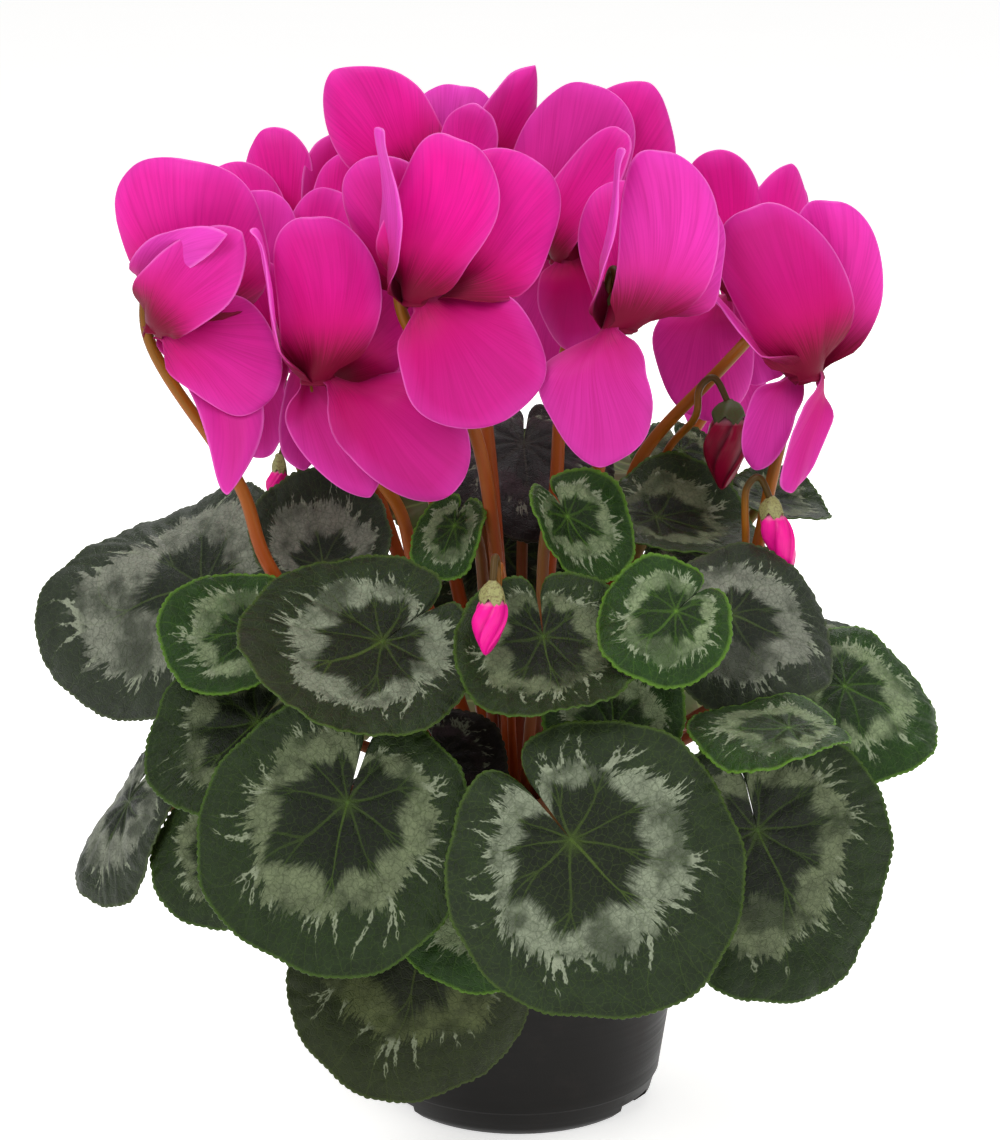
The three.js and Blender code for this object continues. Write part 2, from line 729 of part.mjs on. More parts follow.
function budStalkSolid(bud, index) {
  const top = new THREE.Vector3(...bud.top);
  const way = bud.by.map((point) => new THREE.Vector3(...point));
  const reach = bud.radius + BUD.hookGap;
  const rise = BUD.hookRise + bud.radius / 2;
  const points = [
    crownPoint(way[0].x, way[0].y, CROWN.stalkRadius),
    ...way,
    ...hookPoints(top, bud.stalk, reach, [0, rise, BUD.calyxHeight - 2]),
  ];
  const radii = [BUD.stalkRadius, BUD.stalkRadius * 0.75];
  return stemSolid(points, STALK.steps, STALK.sides, radii, ROLL * index);
}

function budCalyxSolid(bud) {
  const radius = bud.radius * BUD.calyxWidth;
  const profile = [
    [0, 0],
    [radius, 0],
    [radius * 0.8, BUD.calyxHeight / 2],
    [BUD.stalkRadius * 0.75, BUD.calyxHeight],
    [0, BUD.calyxHeight],
  ];
  const [x, y, z] = bud.top;
  return turnedSolid(profile, CALYX.sides, [x, y, z + CLEARANCE]);
}

function tuberProfile(extra) {
  const { radius, height, middle } = TUBER;
  const profile = [];
  const steps = 6;
  for (let i = 0; i <= steps; i++) {
    const angle = (Math.PI * i) / steps - Math.PI / 2;
    const across = i === 0 || i === steps ? 0 : (radius + extra) * Math.cos(angle);
    profile.push([across, middle + (height / 2 + extra) * Math.sin(angle)]);
  }
  return profile;
}

function tuberWithStems() {
  const pieces = [
    turnedSolid(tuberProfile(0), TUBER.sides),
    ...LEAVES.map(petioleSolid),
    ...BLOOMS.map(stalkSolid),
    ...BLOOMS.map(calyxSolid),
    ...BUDS.map(budStalkSolid),
    ...BUDS.map(budCalyxSolid),
  ];
  return wasm.Manifold.union(pieces);
}

function potSolid() {
  const { height, rimRadius, rimBand, wall, footRadius, footTaper, footHeight, floor, bossRadius } = POT;
  const band = height - rimBand;
  const shoulder = rimRadius - 2;
  const profile = [
    [0, floor],
    [0, 0],
    [bossRadius, 0],
    [bossRadius + 1, floor - wall],
    [footRadius - footTaper - wall, floor - wall],
    [footRadius - footTaper - wall, 1.5],
    [footRadius - 2 * footTaper - wall, 0],
    [footRadius - 2 * footTaper, 0],
    [footRadius - footTaper * 0.5, 3],
    [footRadius + 0.4, footHeight],
    [footRadius + 1.2, footHeight + 0.6],
    [shoulder, band],
    [rimRadius, band + 0.6],
    [rimRadius, height - 0.6],
    [rimRadius - 0.6, height],
    [rimRadius - 0.8 - wall, height],
    [shoulder - wall, band - 1],
    [footRadius + 0.4 - wall, floor + 3],
    [footRadius - wall - 2, floor],
  ];
  profile.push(profile[0]);
  let solid = turnedSolid(profile, POT.sides);
  for (const angle of POT.notchAngles) solid = solid.subtract(notchSolid(angle));
  return solid;
}

// A wedge that cuts one notch through the pot's foot.
function notchSolid(azimuth) {
  const half = POT.notchHalfWidth;
  const near = POT.footRadius - 8;
  const far = POT.footRadius + 6;
  const corners = [
    [near, azimuth - half, -1],
    [far, azimuth - half, -1],
    [far, azimuth + half, -1],
    [near, azimuth + half, -1],
  ];
  const top = POT.floor - POT.wall - 0.2;
  const rings = [0, 1].map((level) =>
    corners.map(([reach, at, low]) => {
      const point = direction(at, 0).multiplyScalar(reach);
      point.z = level ? (reach === near ? top : POT.notchHeight) : low;
      return point;
    }),
  );
  return ringsSolid(rings);
}

function soilSolid() {
  const inside = (height) => {
    const share = (height - POT.floor) / (POT.height - POT.rimBand - POT.floor);
    const low = POT.footRadius + 0.4 - POT.wall;
    const high = POT.rimRadius - 2 - POT.wall;
    return low + (high - low) * Math.min(1, share) - 2 * CLEARANCE;
  };
  const profile = [
    [0, POT.floor + CLEARANCE],
    [POT.footRadius - POT.wall - 2.6, POT.floor + CLEARANCE],
    [inside(POT.floor + 3) - 0.3, POT.floor + 3 + CLEARANCE],
    [inside(SOIL.level) - 0.5, SOIL.level],
    [30, SOIL.level + SOIL.crown * 0.6],
    [15, SOIL.level + SOIL.crown],
    [0, SOIL.level + SOIL.crown],
  ];
  return turnedSolid(profile, SOIL.sides).subtract(turnedSolid(tuberProfile(CLEARANCE), TUBER.sides));
}

const finish = (color, roughness) => new THREE.MeshStandardMaterial({ color, roughness, metalness: 0 });
const plastic = finish(0x1d1b1c, 0.5);
const peat = finish(0x2a1c14, 0.95);
const stemSkin = finish(0x8a4426, 0.5);
const leafSkin = finish(0x2f4a2a, 0.45);
const petalSkin = finish(0xe0189c, 0.5);
const budSkin = finish(0xd01083, 0.45);

const cyclamen = new THREE.Group();
cyclamen.add(meshOf("pot", potSolid(), plastic));
cyclamen.add(meshOf("soil", soilSolid(), peat));
cyclamen.add(meshOf("tuber_with_stems", tuberWithStems(), stemSkin));
for (const leaf of LEAVES) cyclamen.add(meshOf(leaf.name, leafSolid(leaf), leafSkin));
for (const bloom of BLOOMS) cyclamen.add(meshOf(bloom.name, bloomSolid(bloom), petalSkin));
for (const bud of BUDS) cyclamen.add(meshOf(bud.name, budSolid(bud), budSkin));

export default cyclamen;
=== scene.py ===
"""A potted cyclamen dressed around its solids: silver-banded leaves, swept-back magenta petals with fine
veins, furled buds, hooked stalks, a corky tuber in crumbly peat and a satin black nursery pot."""

import math
from collections import namedtuple
from functools import partial

import bpy
import numpy as np
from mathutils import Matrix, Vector


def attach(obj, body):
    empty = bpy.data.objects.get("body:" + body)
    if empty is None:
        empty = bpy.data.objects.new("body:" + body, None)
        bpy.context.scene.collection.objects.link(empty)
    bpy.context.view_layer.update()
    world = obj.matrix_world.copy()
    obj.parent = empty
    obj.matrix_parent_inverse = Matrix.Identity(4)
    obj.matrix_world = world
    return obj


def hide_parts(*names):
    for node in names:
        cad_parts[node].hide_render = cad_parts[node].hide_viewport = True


bl_info = {
    "name": "Potted Cyclamen",
    "version": (1, 0, 0),
    "blender": (4, 5, 0),
    "location": "View3D > Sidebar > Cyclamen",
    "description": "Builds a potted cyclamen around its solids",
    "category": "Add Mesh",
}

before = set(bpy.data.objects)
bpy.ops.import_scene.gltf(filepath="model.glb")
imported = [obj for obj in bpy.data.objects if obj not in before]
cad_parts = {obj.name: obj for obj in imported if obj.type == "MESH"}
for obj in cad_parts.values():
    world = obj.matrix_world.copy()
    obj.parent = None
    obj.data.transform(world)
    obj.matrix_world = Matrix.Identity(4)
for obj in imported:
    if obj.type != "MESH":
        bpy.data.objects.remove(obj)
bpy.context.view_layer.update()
MM = 0.001
DEGREE = math.pi / 180
FULL_TURN = 6.28  # the range of a random phase

# ---------------------------------------------------------------- the stage, in metres

FLOOR_RADIUS, FLOOR_SIDES = 9, 96  # so wide that no view sees the floor's edge near the plant
PAPER_GLOW, SKY_GLOW = 0.6, 0.42
# Each softbox: its place, the length of its side and its power in watts.
SOFTBOXES = {
    "key_softbox": ((-0.9, -1.3, 1.5), 1.1, 23),
    "fill_softbox": ((1.3, -1.1, 0.9), 1.2, 9.5),
    "top_softbox": ((0.1, 0.2, 1.7), 1.2, 12),
    "back_softbox": ((0.2, 1.2, 1.3), 1.2, 13),
}
LIT_POINT = Vector((0, 0, 0.2))
CAMERA = {"lens": 107.6, "sensor": 36, "elevation": 14, "distance": 1.1,
          "target": Vector((-0.0058, 0, 0.178))}

# ---------------------------------------------------------------- the plant's plan, in millimetres

# The junction with the petiole is off the centre of a round blade by this share of its radius, and a slit
# runs from there to the rim.
LEAF_OFFSET, SLIT_POWER, SLIT_EDGE = 0.26, 16, 0.985
SECTOR = 2 * math.pi * SLIT_EDGE / 9  # from main vein to main vein
LEAF_GAUGE = 0.9  # the thickness of the plan's blade, which sets where the petiole ends
VEIN_GROOVE, VEIN_SHOULDER = 1.1, 3.2  # how far from a vein its groove and the rise beside it reach
# Each ring of a blade's grid: its share of the reach, how many of the rim's points it skips to the next, and
# its share of the teeth.
LEAF_RINGS = [(s, 4, 0) for s in (0.03, 0.1, 0.18, 0.26, 0.34, 0.42)]
LEAF_RINGS += [(s, 2, 0) for s in (0.49, 0.56, 0.63, 0.7, 0.77, 0.84, 0.9)]
LEAF_RINGS += [(0.945, 1, 0), (0.975, 1, 0), (0.99, 1, 0.45), (1.0, 1, 1)]
PETIOLE = {"radius": 1.7, "neck": 9, "arch": 10, "gap": 0.8, "sides": 12}
PETAL = {"widest": 0.58, "root": 4.9, "depth": 1.5, "bow": 4, "bow_peak": 0.105, "twist_end": 0.35}
# The rows of a petal's grid, as the turns in degrees at which its outline's two half-ellipses are cut.
PETAL_ROWS, PETAL_COLUMNS = (*np.linspace(-90, 0, 18), *np.linspace(0, 86.5, 17)[1:]), 26
NARROW_PETAL = 15  # a petal up to this wide bows half as much
SKEW_AT_TIP = 0.55 + 0.45 * math.cos(PETAL_ROWS[-1] * DEGREE)
PETAL_CLAW = 4.4  # half the width of a petal where it grows from the mouth's rim
MOUTH = {"tube": 3.6, "depth": 7, "sides": 30}
STALK = {"radius": 2.4, "tip": 1.3, "low": -6, "reach": 7.5, "rise": 17, "sides": 14}
CALYX = {"radius": 3.4, "height": 4.5, "sides": 40}
BUD = {"gap": 3.2, "rise": 9, "stalk": 1.4, "tip": 1.05, "sides": 12, "calyx_width": 0.75, "calyx_height": 5}
CROWN = {"leaf": 18, "stalk": 11, "height": 95.5}
TUBER = {"radius": 25, "height": 30, "middle": 88}
POT = {"height": 100, "rim": 60, "band": 8, "wall": 1.3, "foot": 46, "taper": 2.5, "foot_height": 9,
       "floor": 5, "boss": 14}
NOTCH = {"angles": (-150, -30, 90), "half": 11, "height": 6, "inside": 8, "outside": 6}
CLEARANCE = 0.3  # what the plan leaves between a flower or bud and its calyx
SOIL = {"level": 91, "crown": 4, "slope": 34, "reach": POT["rim"] - 2 - POT["wall"] - 2 * CLEARANCE - 0.5}
POT_SIDES, SOIL_SIDES, CRUMBS = 144, 180, 420
LEAF_SEED, SWAY_SEED, SWELL_SEED, FINE_SWELL_SEED, SOIL_SEED = 100, 700, 900, 940, 5

# ---------------------------------------------------------------- leaves, blooms and buds, one by one

# Each leaf: junction, azimuth and elevation of its upper face, turn of its tip, radius, bend across and
# along, wave (height share, count, phase), then its kind, and where it has them its lobes (depth, count,
# phase) and the way points of its petiole. The two leaves deep in the plant's shade take the kind that
# is painted darker as shade.
Leaf = namedtuple("Leaf", "at faces turn radius bend wave kind lobes way")
LEAVES = [Leaf(*row) for row in (
    ((-102, 2, 172), (-108, 40), -76, 44, (-25, -20), (0.14, 3, 60), "grey", (0.1, 3, 30), ()),
    ((-82, -52, 171), (-100, 48), -75, 23, (20, 10), (0.08, 3, 0), "young", None,
     ((-46, -30, 158), (-70, -40, 173))),
    ((-63, 0, 180), (-92, 58), -170, 25, (50, 40), (0.06, 3, 90), "grey", None, ()),
    ((-41, -80, 176), (-88, 52), -55, 36, (25, 20), (0.12, 2, 100), "slate", None, ()),
    ((-80, -67, 147), (-104, 45), -40, 30, (20, 0), (0.14, 2, 150), "dark", None, ()),
    ((-125, -23, 107), (-158, 35), 5, 27, (-20, -15), (0.08, 3, 0), "grey", None, ()),
    ((-90, -54, 104), (-112, 14), -35, 24, (-15, 0), (0.06, 3, 30), "dark", None, ()),
    ((-51, -104, 133), (-95, 20), -16, 41, (12, 8), (0.04, 3, 20), "dark", None, ()),
    ((-24, -66, 136), (-75, 34), 20, 19, (30, 0), (0.08, 3, 20), "tone_and_shade", None, ()),
    ((7, -93, 181), (-88, 45), 5, 28, (25, 30), (0.07, 3, 150), "dark", None, ()),
    ((46, -98, 190), (-94, 35), -45, 20, (10, 0), (0.2, 3, 100), "young", None,
     ((20, -42, 162), (37, -68, 182))),
    ((28, -84, 149), (-88, 32), 176, 22, (20, -10), (0.08, 3, 40), "young", None, ()),
    ((15, -118, 126), (-88, 18), 38, 44, (8, 6), (0.05, 3, 80), "slate", None, ()),
    ((72, -88, 119), (-64, 14), 12, 42, (14, 4), (0.05, 3, 20), "dark", None, ()),
    ((102, -42, 151), (-62, 50), 45, 28, (-10, -20), (0.08, 3, 50), "young", None, ()),
    ((65, -56, 178), (-74, 42), 55, 29, (-20, -15), (0.12, 3, 10), "grey", None, ()),
    ((80, -97, 154), (-88, 83), -76, 24, (10, -10), (0.08, 3, 60), "young", None,
     ((48, -50, 140), (64, -76, 149))),
    ((-29, -84, 82), (-98, 8), -22, 40, (-24, 10), (0.08, 3, 30), "olive", None,
     ((-16, -46, 114), (-23, -70, 104))),
    ((-8, -99, 110), (-95, 10), -15, 30, (5, 5), (0.04, 3, 0), "young", None, ()),
    ((82, 34, 194), (-40, 68), 30, 18, (30, 10), (0.08, 3, 0), "dark", None, ()),
    ((106, 0, 152), (-20, 65), 0, 28, (-15, -15), (0.08, 3, 45), "dark", None, ()),
    ((44, -10, 198), (-70, 66), 60, 26, (35, 0), (0.08, 3, 0), "dark", None, ()),
    ((15, -44, 206), (-60, 30), 20, 19, (60, 10), (0.1, 3, 60), "young", None, ()),
    ((2, 28, 214), (-88, 58), -5, 30, (-15, -15), (0.06, 3, 0), "tone_and_shade", None, ()),
    ((-20, -35, 201), (-130, 30), 0, 14, (20, 0), (0.1, 3, 0), "young", None, ()),
    ((54, 35, 210), (-70, 50), 0, 18, (-15, -10), (0.06, 3, 0), "dark", None, ()),
    ((62, 8, 180), (-60, 40), 10, 26, (-15, -10), (0.06, 3, 30), "dark", None, ()),
    ((-95, 44, 140), (150, 30), 0, 34, (-12, -12), (0.07, 3, 0), "dark", None, ()),
    ((-54, 91, 125), (122, 28), 10, 35, (10, -8), (0.06, 3, 60), "slate", None, ()),
    ((4, 104, 120), (90, 25), -10, 36, (10, -5), (0.06, 3, 20), "dark", None, ()),
    ((63, 84, 131), (55, 28), 5, 32, (-10, -8), (0.07, 3, 90), "grey", None, ()),
    ((99, 40, 121), (20, 26), -5, 30, (10, -5), (0.06, 3, 0), "dark", None, ()),
    ((-66, 50, 176), (135, 52), 0, 28, (-15, -15), (0.08, 3, 30), "slate", None, ()),
    ((-14, 64, 198), (95, 35), 5, 31, (15, -12), (0.07, 3, 70), "dark", None, ()),
    ((50, 78, 192), (85, 48), -10, 31, (-12, -12), (0.08, 3, 10), "grey", None, ()),
    ((-5, 50, 172), (-90, 30), 0, 29, (15, -12), (0.07, 3, 40), "dark", None, ()),
)]

# Each bloom: mouth, azimuth of its first petal's root, azimuth of the stalk beside the mouth, way points of
# the stalk, and petals as (tip from the mouth x y z, azimuth that it faces, width, cup, bend, sweep).
Bloom = namedtuple("Bloom", "mouth first beside way petals")
Petal = namedtuple("Petal", "x y z azimuth width cup bend sweep")
BLOOMS = [Bloom(*row[:4], [Petal(*petal) for petal in row[4]]) for row in (
    ((-109, -42, 265), -122, 130, ((-78, -34, 186), (-86, -32, 213)), (
        (24, -16, 33, -100, 26, 35, 0, 0), (37, -10, -14, -80, 34, -15, -10, 0),
        (12, -4, 50, -92, 48, -20, -10, 0), (20, -12, -50, -80, 20, 20, 5, -10),
        (22, -21, 31, -100, 14, 40, 0, -9))),
    ((-61, -52, 251), -90, 115, ((-33, -12, 181), (-38, -24, 206)), (
        (-1, -7, 50, -88, 32, -15, 5, 4), (43, -12, -31, -75, 35, -15, -10, 0),
        (26, 4, 26, -85, 28, -10, -10, 0), (17, -2, -36, -100, 24, 10, 0, 0),
        (-18, -13, 47, 5, 22, 10, 5, -7))),
    ((-75, -8, 251), -78, 99, ((-42, 26, 172), (-64, 26, 206), (-73, 8, 228)), (
        (-13, -6, 32, -75, 26, -10, 5, 0), (7, -6, -37, -60, 20, 15, 5, 0),
        (18, 6, 50, -95, 26, -10, -5, 0), (-8, -2, -34, -110, 20, 15, 0, 0),
        (-6, 0, 51, -85, 28, -10, -5, 0))),
    ((-71, 32, 274), -102, 6, ((-52, 30, 215),), (
        (2, -12, -36, -90, 28, -10, 0, 0), (21, -11, 38, -105, 24, -10, -5, 0),
        (12, 15, 40, -70, 22, 10, 0, 0), (-13, 14, 41, -110, 26, -10, -5, 0),
        (-25, -2, 31, -80, 28, -15, -10, 0))),
    ((-24, 14, 301), -60, -24, ((-8, -3, 205), (-14, 8, 260)), (
        (11, -17, 26, -100, 19, -10, -5, 0), (28, -2, 38, -55, 22, 15, -10, 0),
        (6, 18, 30, -95, 30, -10, 0, 0), (-8, 12, -38, 100, 30, -10, 0, 0),
        (-26, -8, 41, -85, 34, -15, -10, 0))),
    ((-30, -58, 276), -134, 138, ((-7, -34, 191), (-15, -42, 238)), (
        (10, -8, 50, -90, 31, -15, 5, 4), (28, -14, -33, -75, 44, -15, -10, 0),
        (34, 2, 42, -95, 38, -15, -10, 0), (-15, -1, 42, -103, 30, -10, -5, 0),
        (-10, -15, 53, -162, 20, 10, 5, 7))),
    ((15, -4, 280), -78, 10, ((12, -5, 203), (15, 4, 250)), (
        (4, -10, -28, -95, 24, -10, 0, 0), (22, -22, 1, -140, 32, 15, -5, 0),
        (31, 8, 52, -85, 36, -15, -10, 0), (8, -2, 54, -103, 38, -18, -10, 0),
        (15, -14, 42, -125, 20, 20, -5, 0))),
    ((30, -54, 267), -146, 114, ((22, -28, 200), (27, -32, 235)), (
        (-4, -12, -41, -88, 34, -15, -5, 0), (14, -9, 54, -86, 30, 5, 5, 7),
        (25, 6, 38, -85, 32, -10, -5, 0), (0, 16, 42, -100, 26, -10, 0, 0),
        (1, -14, 55, 178, 20, 10, 5, 6))),
    ((72, 16, 265), 183, 1, ((40, 22, 172), (36, 18, 205), (66, 2, 245)), (
        (-13, 8, -43, -88, 34, -10, 0, 0), (-10, -5, 47, -95, 27, -10, -5, 0),
        (13, -5, 43, -80, 22, -10, -5, 0), (23, 15, 28, -60, 22, 10, 5, 0),
        (8, 18, -32, 80, 26, -10, 0, 0))),
    ((89, -30, 248), -66, 120, ((64, -24, 168), (74, -22, 185), (79, -18, 208)), (
        (-17, -9, 54, -95, 36, -15, 5, 0), (-5, -8, -36, -50, 15, 15, 0, 0),
        (6, 2, 54, -90, 30, -15, 5, 5), (-16, 3, -31, -110, 15, 10, 0, 0),
        (-31, -2, 27, -5, 16, 10, 0, -6))),
    ((-52, 74, 252), 72, 260, ((-28, 40, 195),), (
        (6, 14, 48, 80, 30, -15, 5, 0), (-32, 8, 30, 150, 26, -15, 0, 0),
        (-16, -14, 44, 230, 24, -10, 0, 0), (24, -8, 40, 300, 26, -10, 0, 0),
        (14, 16, -40, 65, 34, -15, -5, 0))),
    ((14, 72, 270), 84, 265, ((30, 40, 198),), (
        (0, 18, -42, 95, 34, -15, -5, 0), (-28, 12, 38, 125, 30, -15, 0, 0),
        (-18, -11, 42, 225, 22, -10, 0, 0), (17, -10, 46, 290, 24, -10, 0, 0),
        (30, 12, 36, 50, 30, -15, 0, 0))),
    ((78, 66, 246), 72, 240, ((42, 46, 190), (62, 60, 215)), (
        (12, 14, 48, 60, 30, -15, 5, 0), (-10, 18, -42, 105, 34, -15, -5, 0),
        (-26, 5, 42, 160, 24, -10, 0, 0), (-4, -16, 45, 260, 24, -10, 0, 0),
        (30, -8, 36, -20, 28, -15, 0, 0))),
)]

# How much painted shade darkens the face of a petal, partly its own deeper tone, and how lilac it is,
# from 0 to 1, where it isn't the usual, by the bloom's number and the petal's place in its row.
PETAL_PAINTED_SHADE_AND_LILAC = {
    (1, 0): (0.35, 0.2), (1, 1): (0.45, 0.3), (1, 2): (0.2, 0.2), (1, 3): (0.7, 0.25), (1, 4): (0.0, 0.8),
    (2, 0): (0.45, 0.0), (2, 1): (0.9, 0.1), (2, 2): (0.5, 0.05), (2, 3): (0.85, 0.15), (2, 4): (0.0, 0.6),
    (3, 4): (0.0, 0.5), (4, 2): (0.9, 0.0), (5, 1): (0.4, 0.1), (5, 2): (0.0, 0.9), (5, 4): (0.0, 0.1),
    (6, 0): (0.05, 0.0), (6, 1): (0.85, 0.1), (6, 2): (0.2, 0.05), (6, 3): (0.4, 0.1), (6, 4): (0.0, 0.9),
    (7, 0): (1.0, 0.0), (7, 3): (0.5, 0.3), (8, 0): (0.85, 0.45), (8, 1): (0.0, 0.65), (8, 2): (0.0, 0.6),
    (8, 4): (0.0, 0.9), (9, 0): (0.5, 0.4), (9, 1): (0.4, 0.0), (10, 0): (0.8, 0.1), (10, 1): (0.7, 0.1),
    (10, 2): (0.0, 0.5), (10, 3): (0.3, 0.6), (10, 4): (0.4, 0.3),
}

# How pointed a petal is, and how far its tip leans to its own +u side as a share of half its width, where
# they aren't the usual 0 and 0.
PETAL_SHAPES = {
    (1, 0): (0.7, 0.4), (1, 1): (0.1, 0.3), (1, 2): (-0.1, -0.15), (1, 3): (0.6, 0.0), (1, 4): (0.8, 0.0),
    (2, 0): (-0.14, 0.12), (2, 2): (0.1, 0.2), (2, 3): (0.5, 0.2),
    (3, 0): (0.35, -0.2), (3, 1): (0.4, 0.0), (3, 2): (0.0, -0.1),
    (4, 1): (0.5, 0.35), (4, 2): (0.4, 0.3), (4, 3): (0.2, 0.2), (4, 4): (0.15, -0.25),
    (5, 0): (0.3, 0.0), (5, 1): (1.0, 0.55), (5, 4): (0.6, -0.9),
    (6, 0): (-0.16, 0.05), (6, 1): (-0.05, -0.15), (6, 2): (-0.05, 0.15), (6, 3): (0.1, -0.1),
    (7, 1): (0.2, -0.3), (7, 2): (0.45, -0.45), (7, 3): (-0.05, -0.2),
    (8, 0): (0.45, 0.1), (8, 1): (-0.1, -0.2), (8, 2): (0.0, 0.2),
    (9, 1): (0.1, 0.0), (9, 2): (0.5, 0.3), (9, 3): (0.6, 0.2),
    (10, 0): (0.0, -0.2), (10, 2): (-0.08, 0.12), (11, 0): (0.2, 0.3), (11, 4): (0.3, 0.1),
    (12, 0): (0.4, -0.1), (12, 1): (0.3, -0.3), (12, 4): (0.1, 0.3),
    (13, 0): (0.1, -0.2), (13, 1): (0.3, 0.0), (13, 4): (0.4, 0.3),
}

# Each bud: where it leaves its calyx, how far its tip lies from there in x and y, length, radius, azimuth
# of the stalk beside it, way points of the stalk, and whether it is still dark.
Bud = namedtuple("Bud", "top lean length radius beside way dark")
BUDS = [Bud(*row) for row in (
    ((67, -6, 230), (-2, 0), 24, 7, 175, ((42, 18, 190), (48, 15, 214)), True),
    ((79, -30, 204), (6, -2), 19, 5, 175, ((62, -20, 170), (71, -26, 188)), False),
    ((-8, -106, 196), (-2, -1), 17, 5, 80, ((-4, -58, 180), (-6, -80, 200)), False),
    ((-78, 24, 206), (-3, 0), 10, 3.2, 20, ((-56, 28, 186),), False),
)]

# ---------------------------------------------------------------- colours


def linear(hexes):
    """A colour of the sRGB hex form, turned linear."""
    values = [int(hexes[i : i + 2], 16) / 255 for i in (1, 3, 5)]
    return [v / 12.92 if v <= 0.04045 else ((v + 0.055) / 1.055) ** 2.4 for v in values]


# What each kind of leaf looks like: its dark field, the heart round the junction, the silver, the veins
# inside, the rim, and where the silver band starts and ends as shares of the reach.
LEAF_KINDS = {
    "dark": ("#19270D", "#0B1205", "#60694D", "#3F5516", "#3E5818", 0.45, 0.68),
    "slate": ("#1C2813", "#101808", "#79816C", "#475C1C", "#40561A", 0.44, 0.68),
    "grey": ("#242B1F", "#151C11", "#74786A", "#435428", "#424F2C", 0.36, 0.71),
    "young": ("#1B340C", "#122406", "#748260", "#43641A", "#567C22", 0.43, 0.68),
    # Painted shade: a darker, browner copy of the leaf skin for the leaves deep in the plant's shade.
    "tone_and_shade": ("#130B0A", "#0B0706", "#33262A", "#2A2418", "#2A2818", 0.45, 0.64),
    "olive": ("#1F270E", "#131907", "#4A5230", "#404E1A", "#3A4818", 0.38, 0.66),
}


# ---------------------------------------------------------------- settings


def length(name, description, metres):
    """A size setting with its default."""
    return bpy.props.FloatProperty(
        name=name, description=description, default=metres, unit="LENGTH", precision=5
    )


class CyclamenSizes(bpy.types.PropertyGroup):
    """The sizes of the fine detail."""

    leaf_thickness: length("Leaf thickness", "Thickness of a blade", 0.0008)
    tooth_spacing: length("Tooth spacing", "From tooth to tooth on a leaf's rim", 0.0023)
    tooth_height: length("Tooth height", "Height of the rim's teeth", 0.00045)
    vein_depth: length("Vein depth", "Depth of the grooves over a leaf's veins", 0.0004)
    pillow: length("Pillow height", "Rise of the blade between its veins", 0.0006)
    petal_thickness: length("Petal thickness", "Thickness of a petal", 0.0005)
    petal_ruffle: length("Petal ruffle", "Height of the waves in a petal's rim", 0.0009)
    crumb: length("Soil crumb", "Size of the larger crumbs of peat", 0.0022)


def colour(name, description, hexes):
    """A colour setting with its default."""
    return bpy.props.FloatVectorProperty(
        name=name, description=description, subtype="COLOR", size=3, min=0, max=1, default=linear(hexes)
    )


class CyclamenColours(bpy.types.PropertyGroup):
    """The colours of the plant, the pot and the stage."""

    petal: colour("Petal", "Face of a petal", "#EE0A9E")
    # Painted shade: the darker face given to petals that hang; it also paints the shade in a ripe bud's
    # creases and colours its streaks.
    petal_tone_and_shade: colour("Petal shade", "Face of a deeper petal", "#C00072")
    petal_eye: colour("Eye", "The flower's mouth and the roots of its petals", "#740026")
    petal_back: colour("Petal back", "Back and rim of a petal", "#E64AC8")
    stalk_low: colour("Stalk foot", "Flower stalk near the tuber", "#8C380C")
    stalk_middle: colour("Stalk middle", "Flower stalk half-way up", "#8C560E")
    stalk_high: colour("Stalk top", "Flower stalk near the flower", "#463310")
    petiole: colour("Petiole", "Leaf stalk", "#5E5A22")
    underside: colour("Underside", "Lower side of a leaf", "#46521F")
    bud: colour("Bud", "Furled petals", "#E5148C")
    bud_dark: colour("Dark bud", "Furled petals of the unripe bud", "#84002C")
    calyx: colour("Calyx", "Sepals of the flowers and the dark bud", "#3C4A1C")
    young_calyx: colour("Young calyx", "Sepals of the bright buds", "#8A8A54")
    tuber: colour("Tuber", "Corky skin of the tuber", "#5A4030")
    peat: colour("Peat", "Moist peat", "#2A1D15")
    pot: colour("Pot", "Black plastic of the pot", "#0F0D0B")
    floor: colour("Floor", "Paper under and behind the plant", "#F2F1EF")


# ---------------------------------------------------------------- materials

# A Mix node with these settings mixes colours: from input 6 to input 7, by the share at input 0.
RGB = {"output": 2, "data_type": "RGBA"}
TINT = {**RGB, "blend_type": "MULTIPLY"}
SMOOTH = {"interpolation_type": "SMOOTHSTEP"}
FLAT_NOISE, FLAT_CELLS = {"noise_dimensions": "2D"}, {"voronoi_dimensions": "2D"}


def node(tree, kind, inputs=(), output=0, **settings):
    """Adds a shader node with its settings, links or sets its inputs, and returns one of its outputs."""
    made = tree.nodes.new("ShaderNode" + kind)
    for key, value in settings.items():
        setattr(made, key, value)
    for key, value in inputs.items() if isinstance(inputs, dict) else enumerate(inputs):
        if isinstance(value, bpy.types.NodeSocket):
            tree.links.new(value, made.inputs[key])
        elif value is not None:
            socket = made.inputs[key]
            four = socket.type == "RGBA" and len(value) == 3
            socket.default_value = (*value, 1) if four else value
    return made if output is None else made.outputs[output]


def blank_material(name):
    """A new node material, its tree's node function, and its output node."""
    material = bpy.data.materials.new(name)
    material.use_nodes = True
    tree = material.node_tree
    tree.nodes.clear()
    return material, partial(node, tree), node(tree, "OutputMaterial", output=None)


def map_parts(n, name):
    """The three numbers of a vertex map."""
    return n("SeparateXYZ", [n("Attribute", attribute_name=name, output="Vector")], output=None).outputs


def close_material(material, shader, out):
    """Links the shader to the material's output."""
    material.node_tree.links.new(shader, out.inputs["Surface"])
    return material


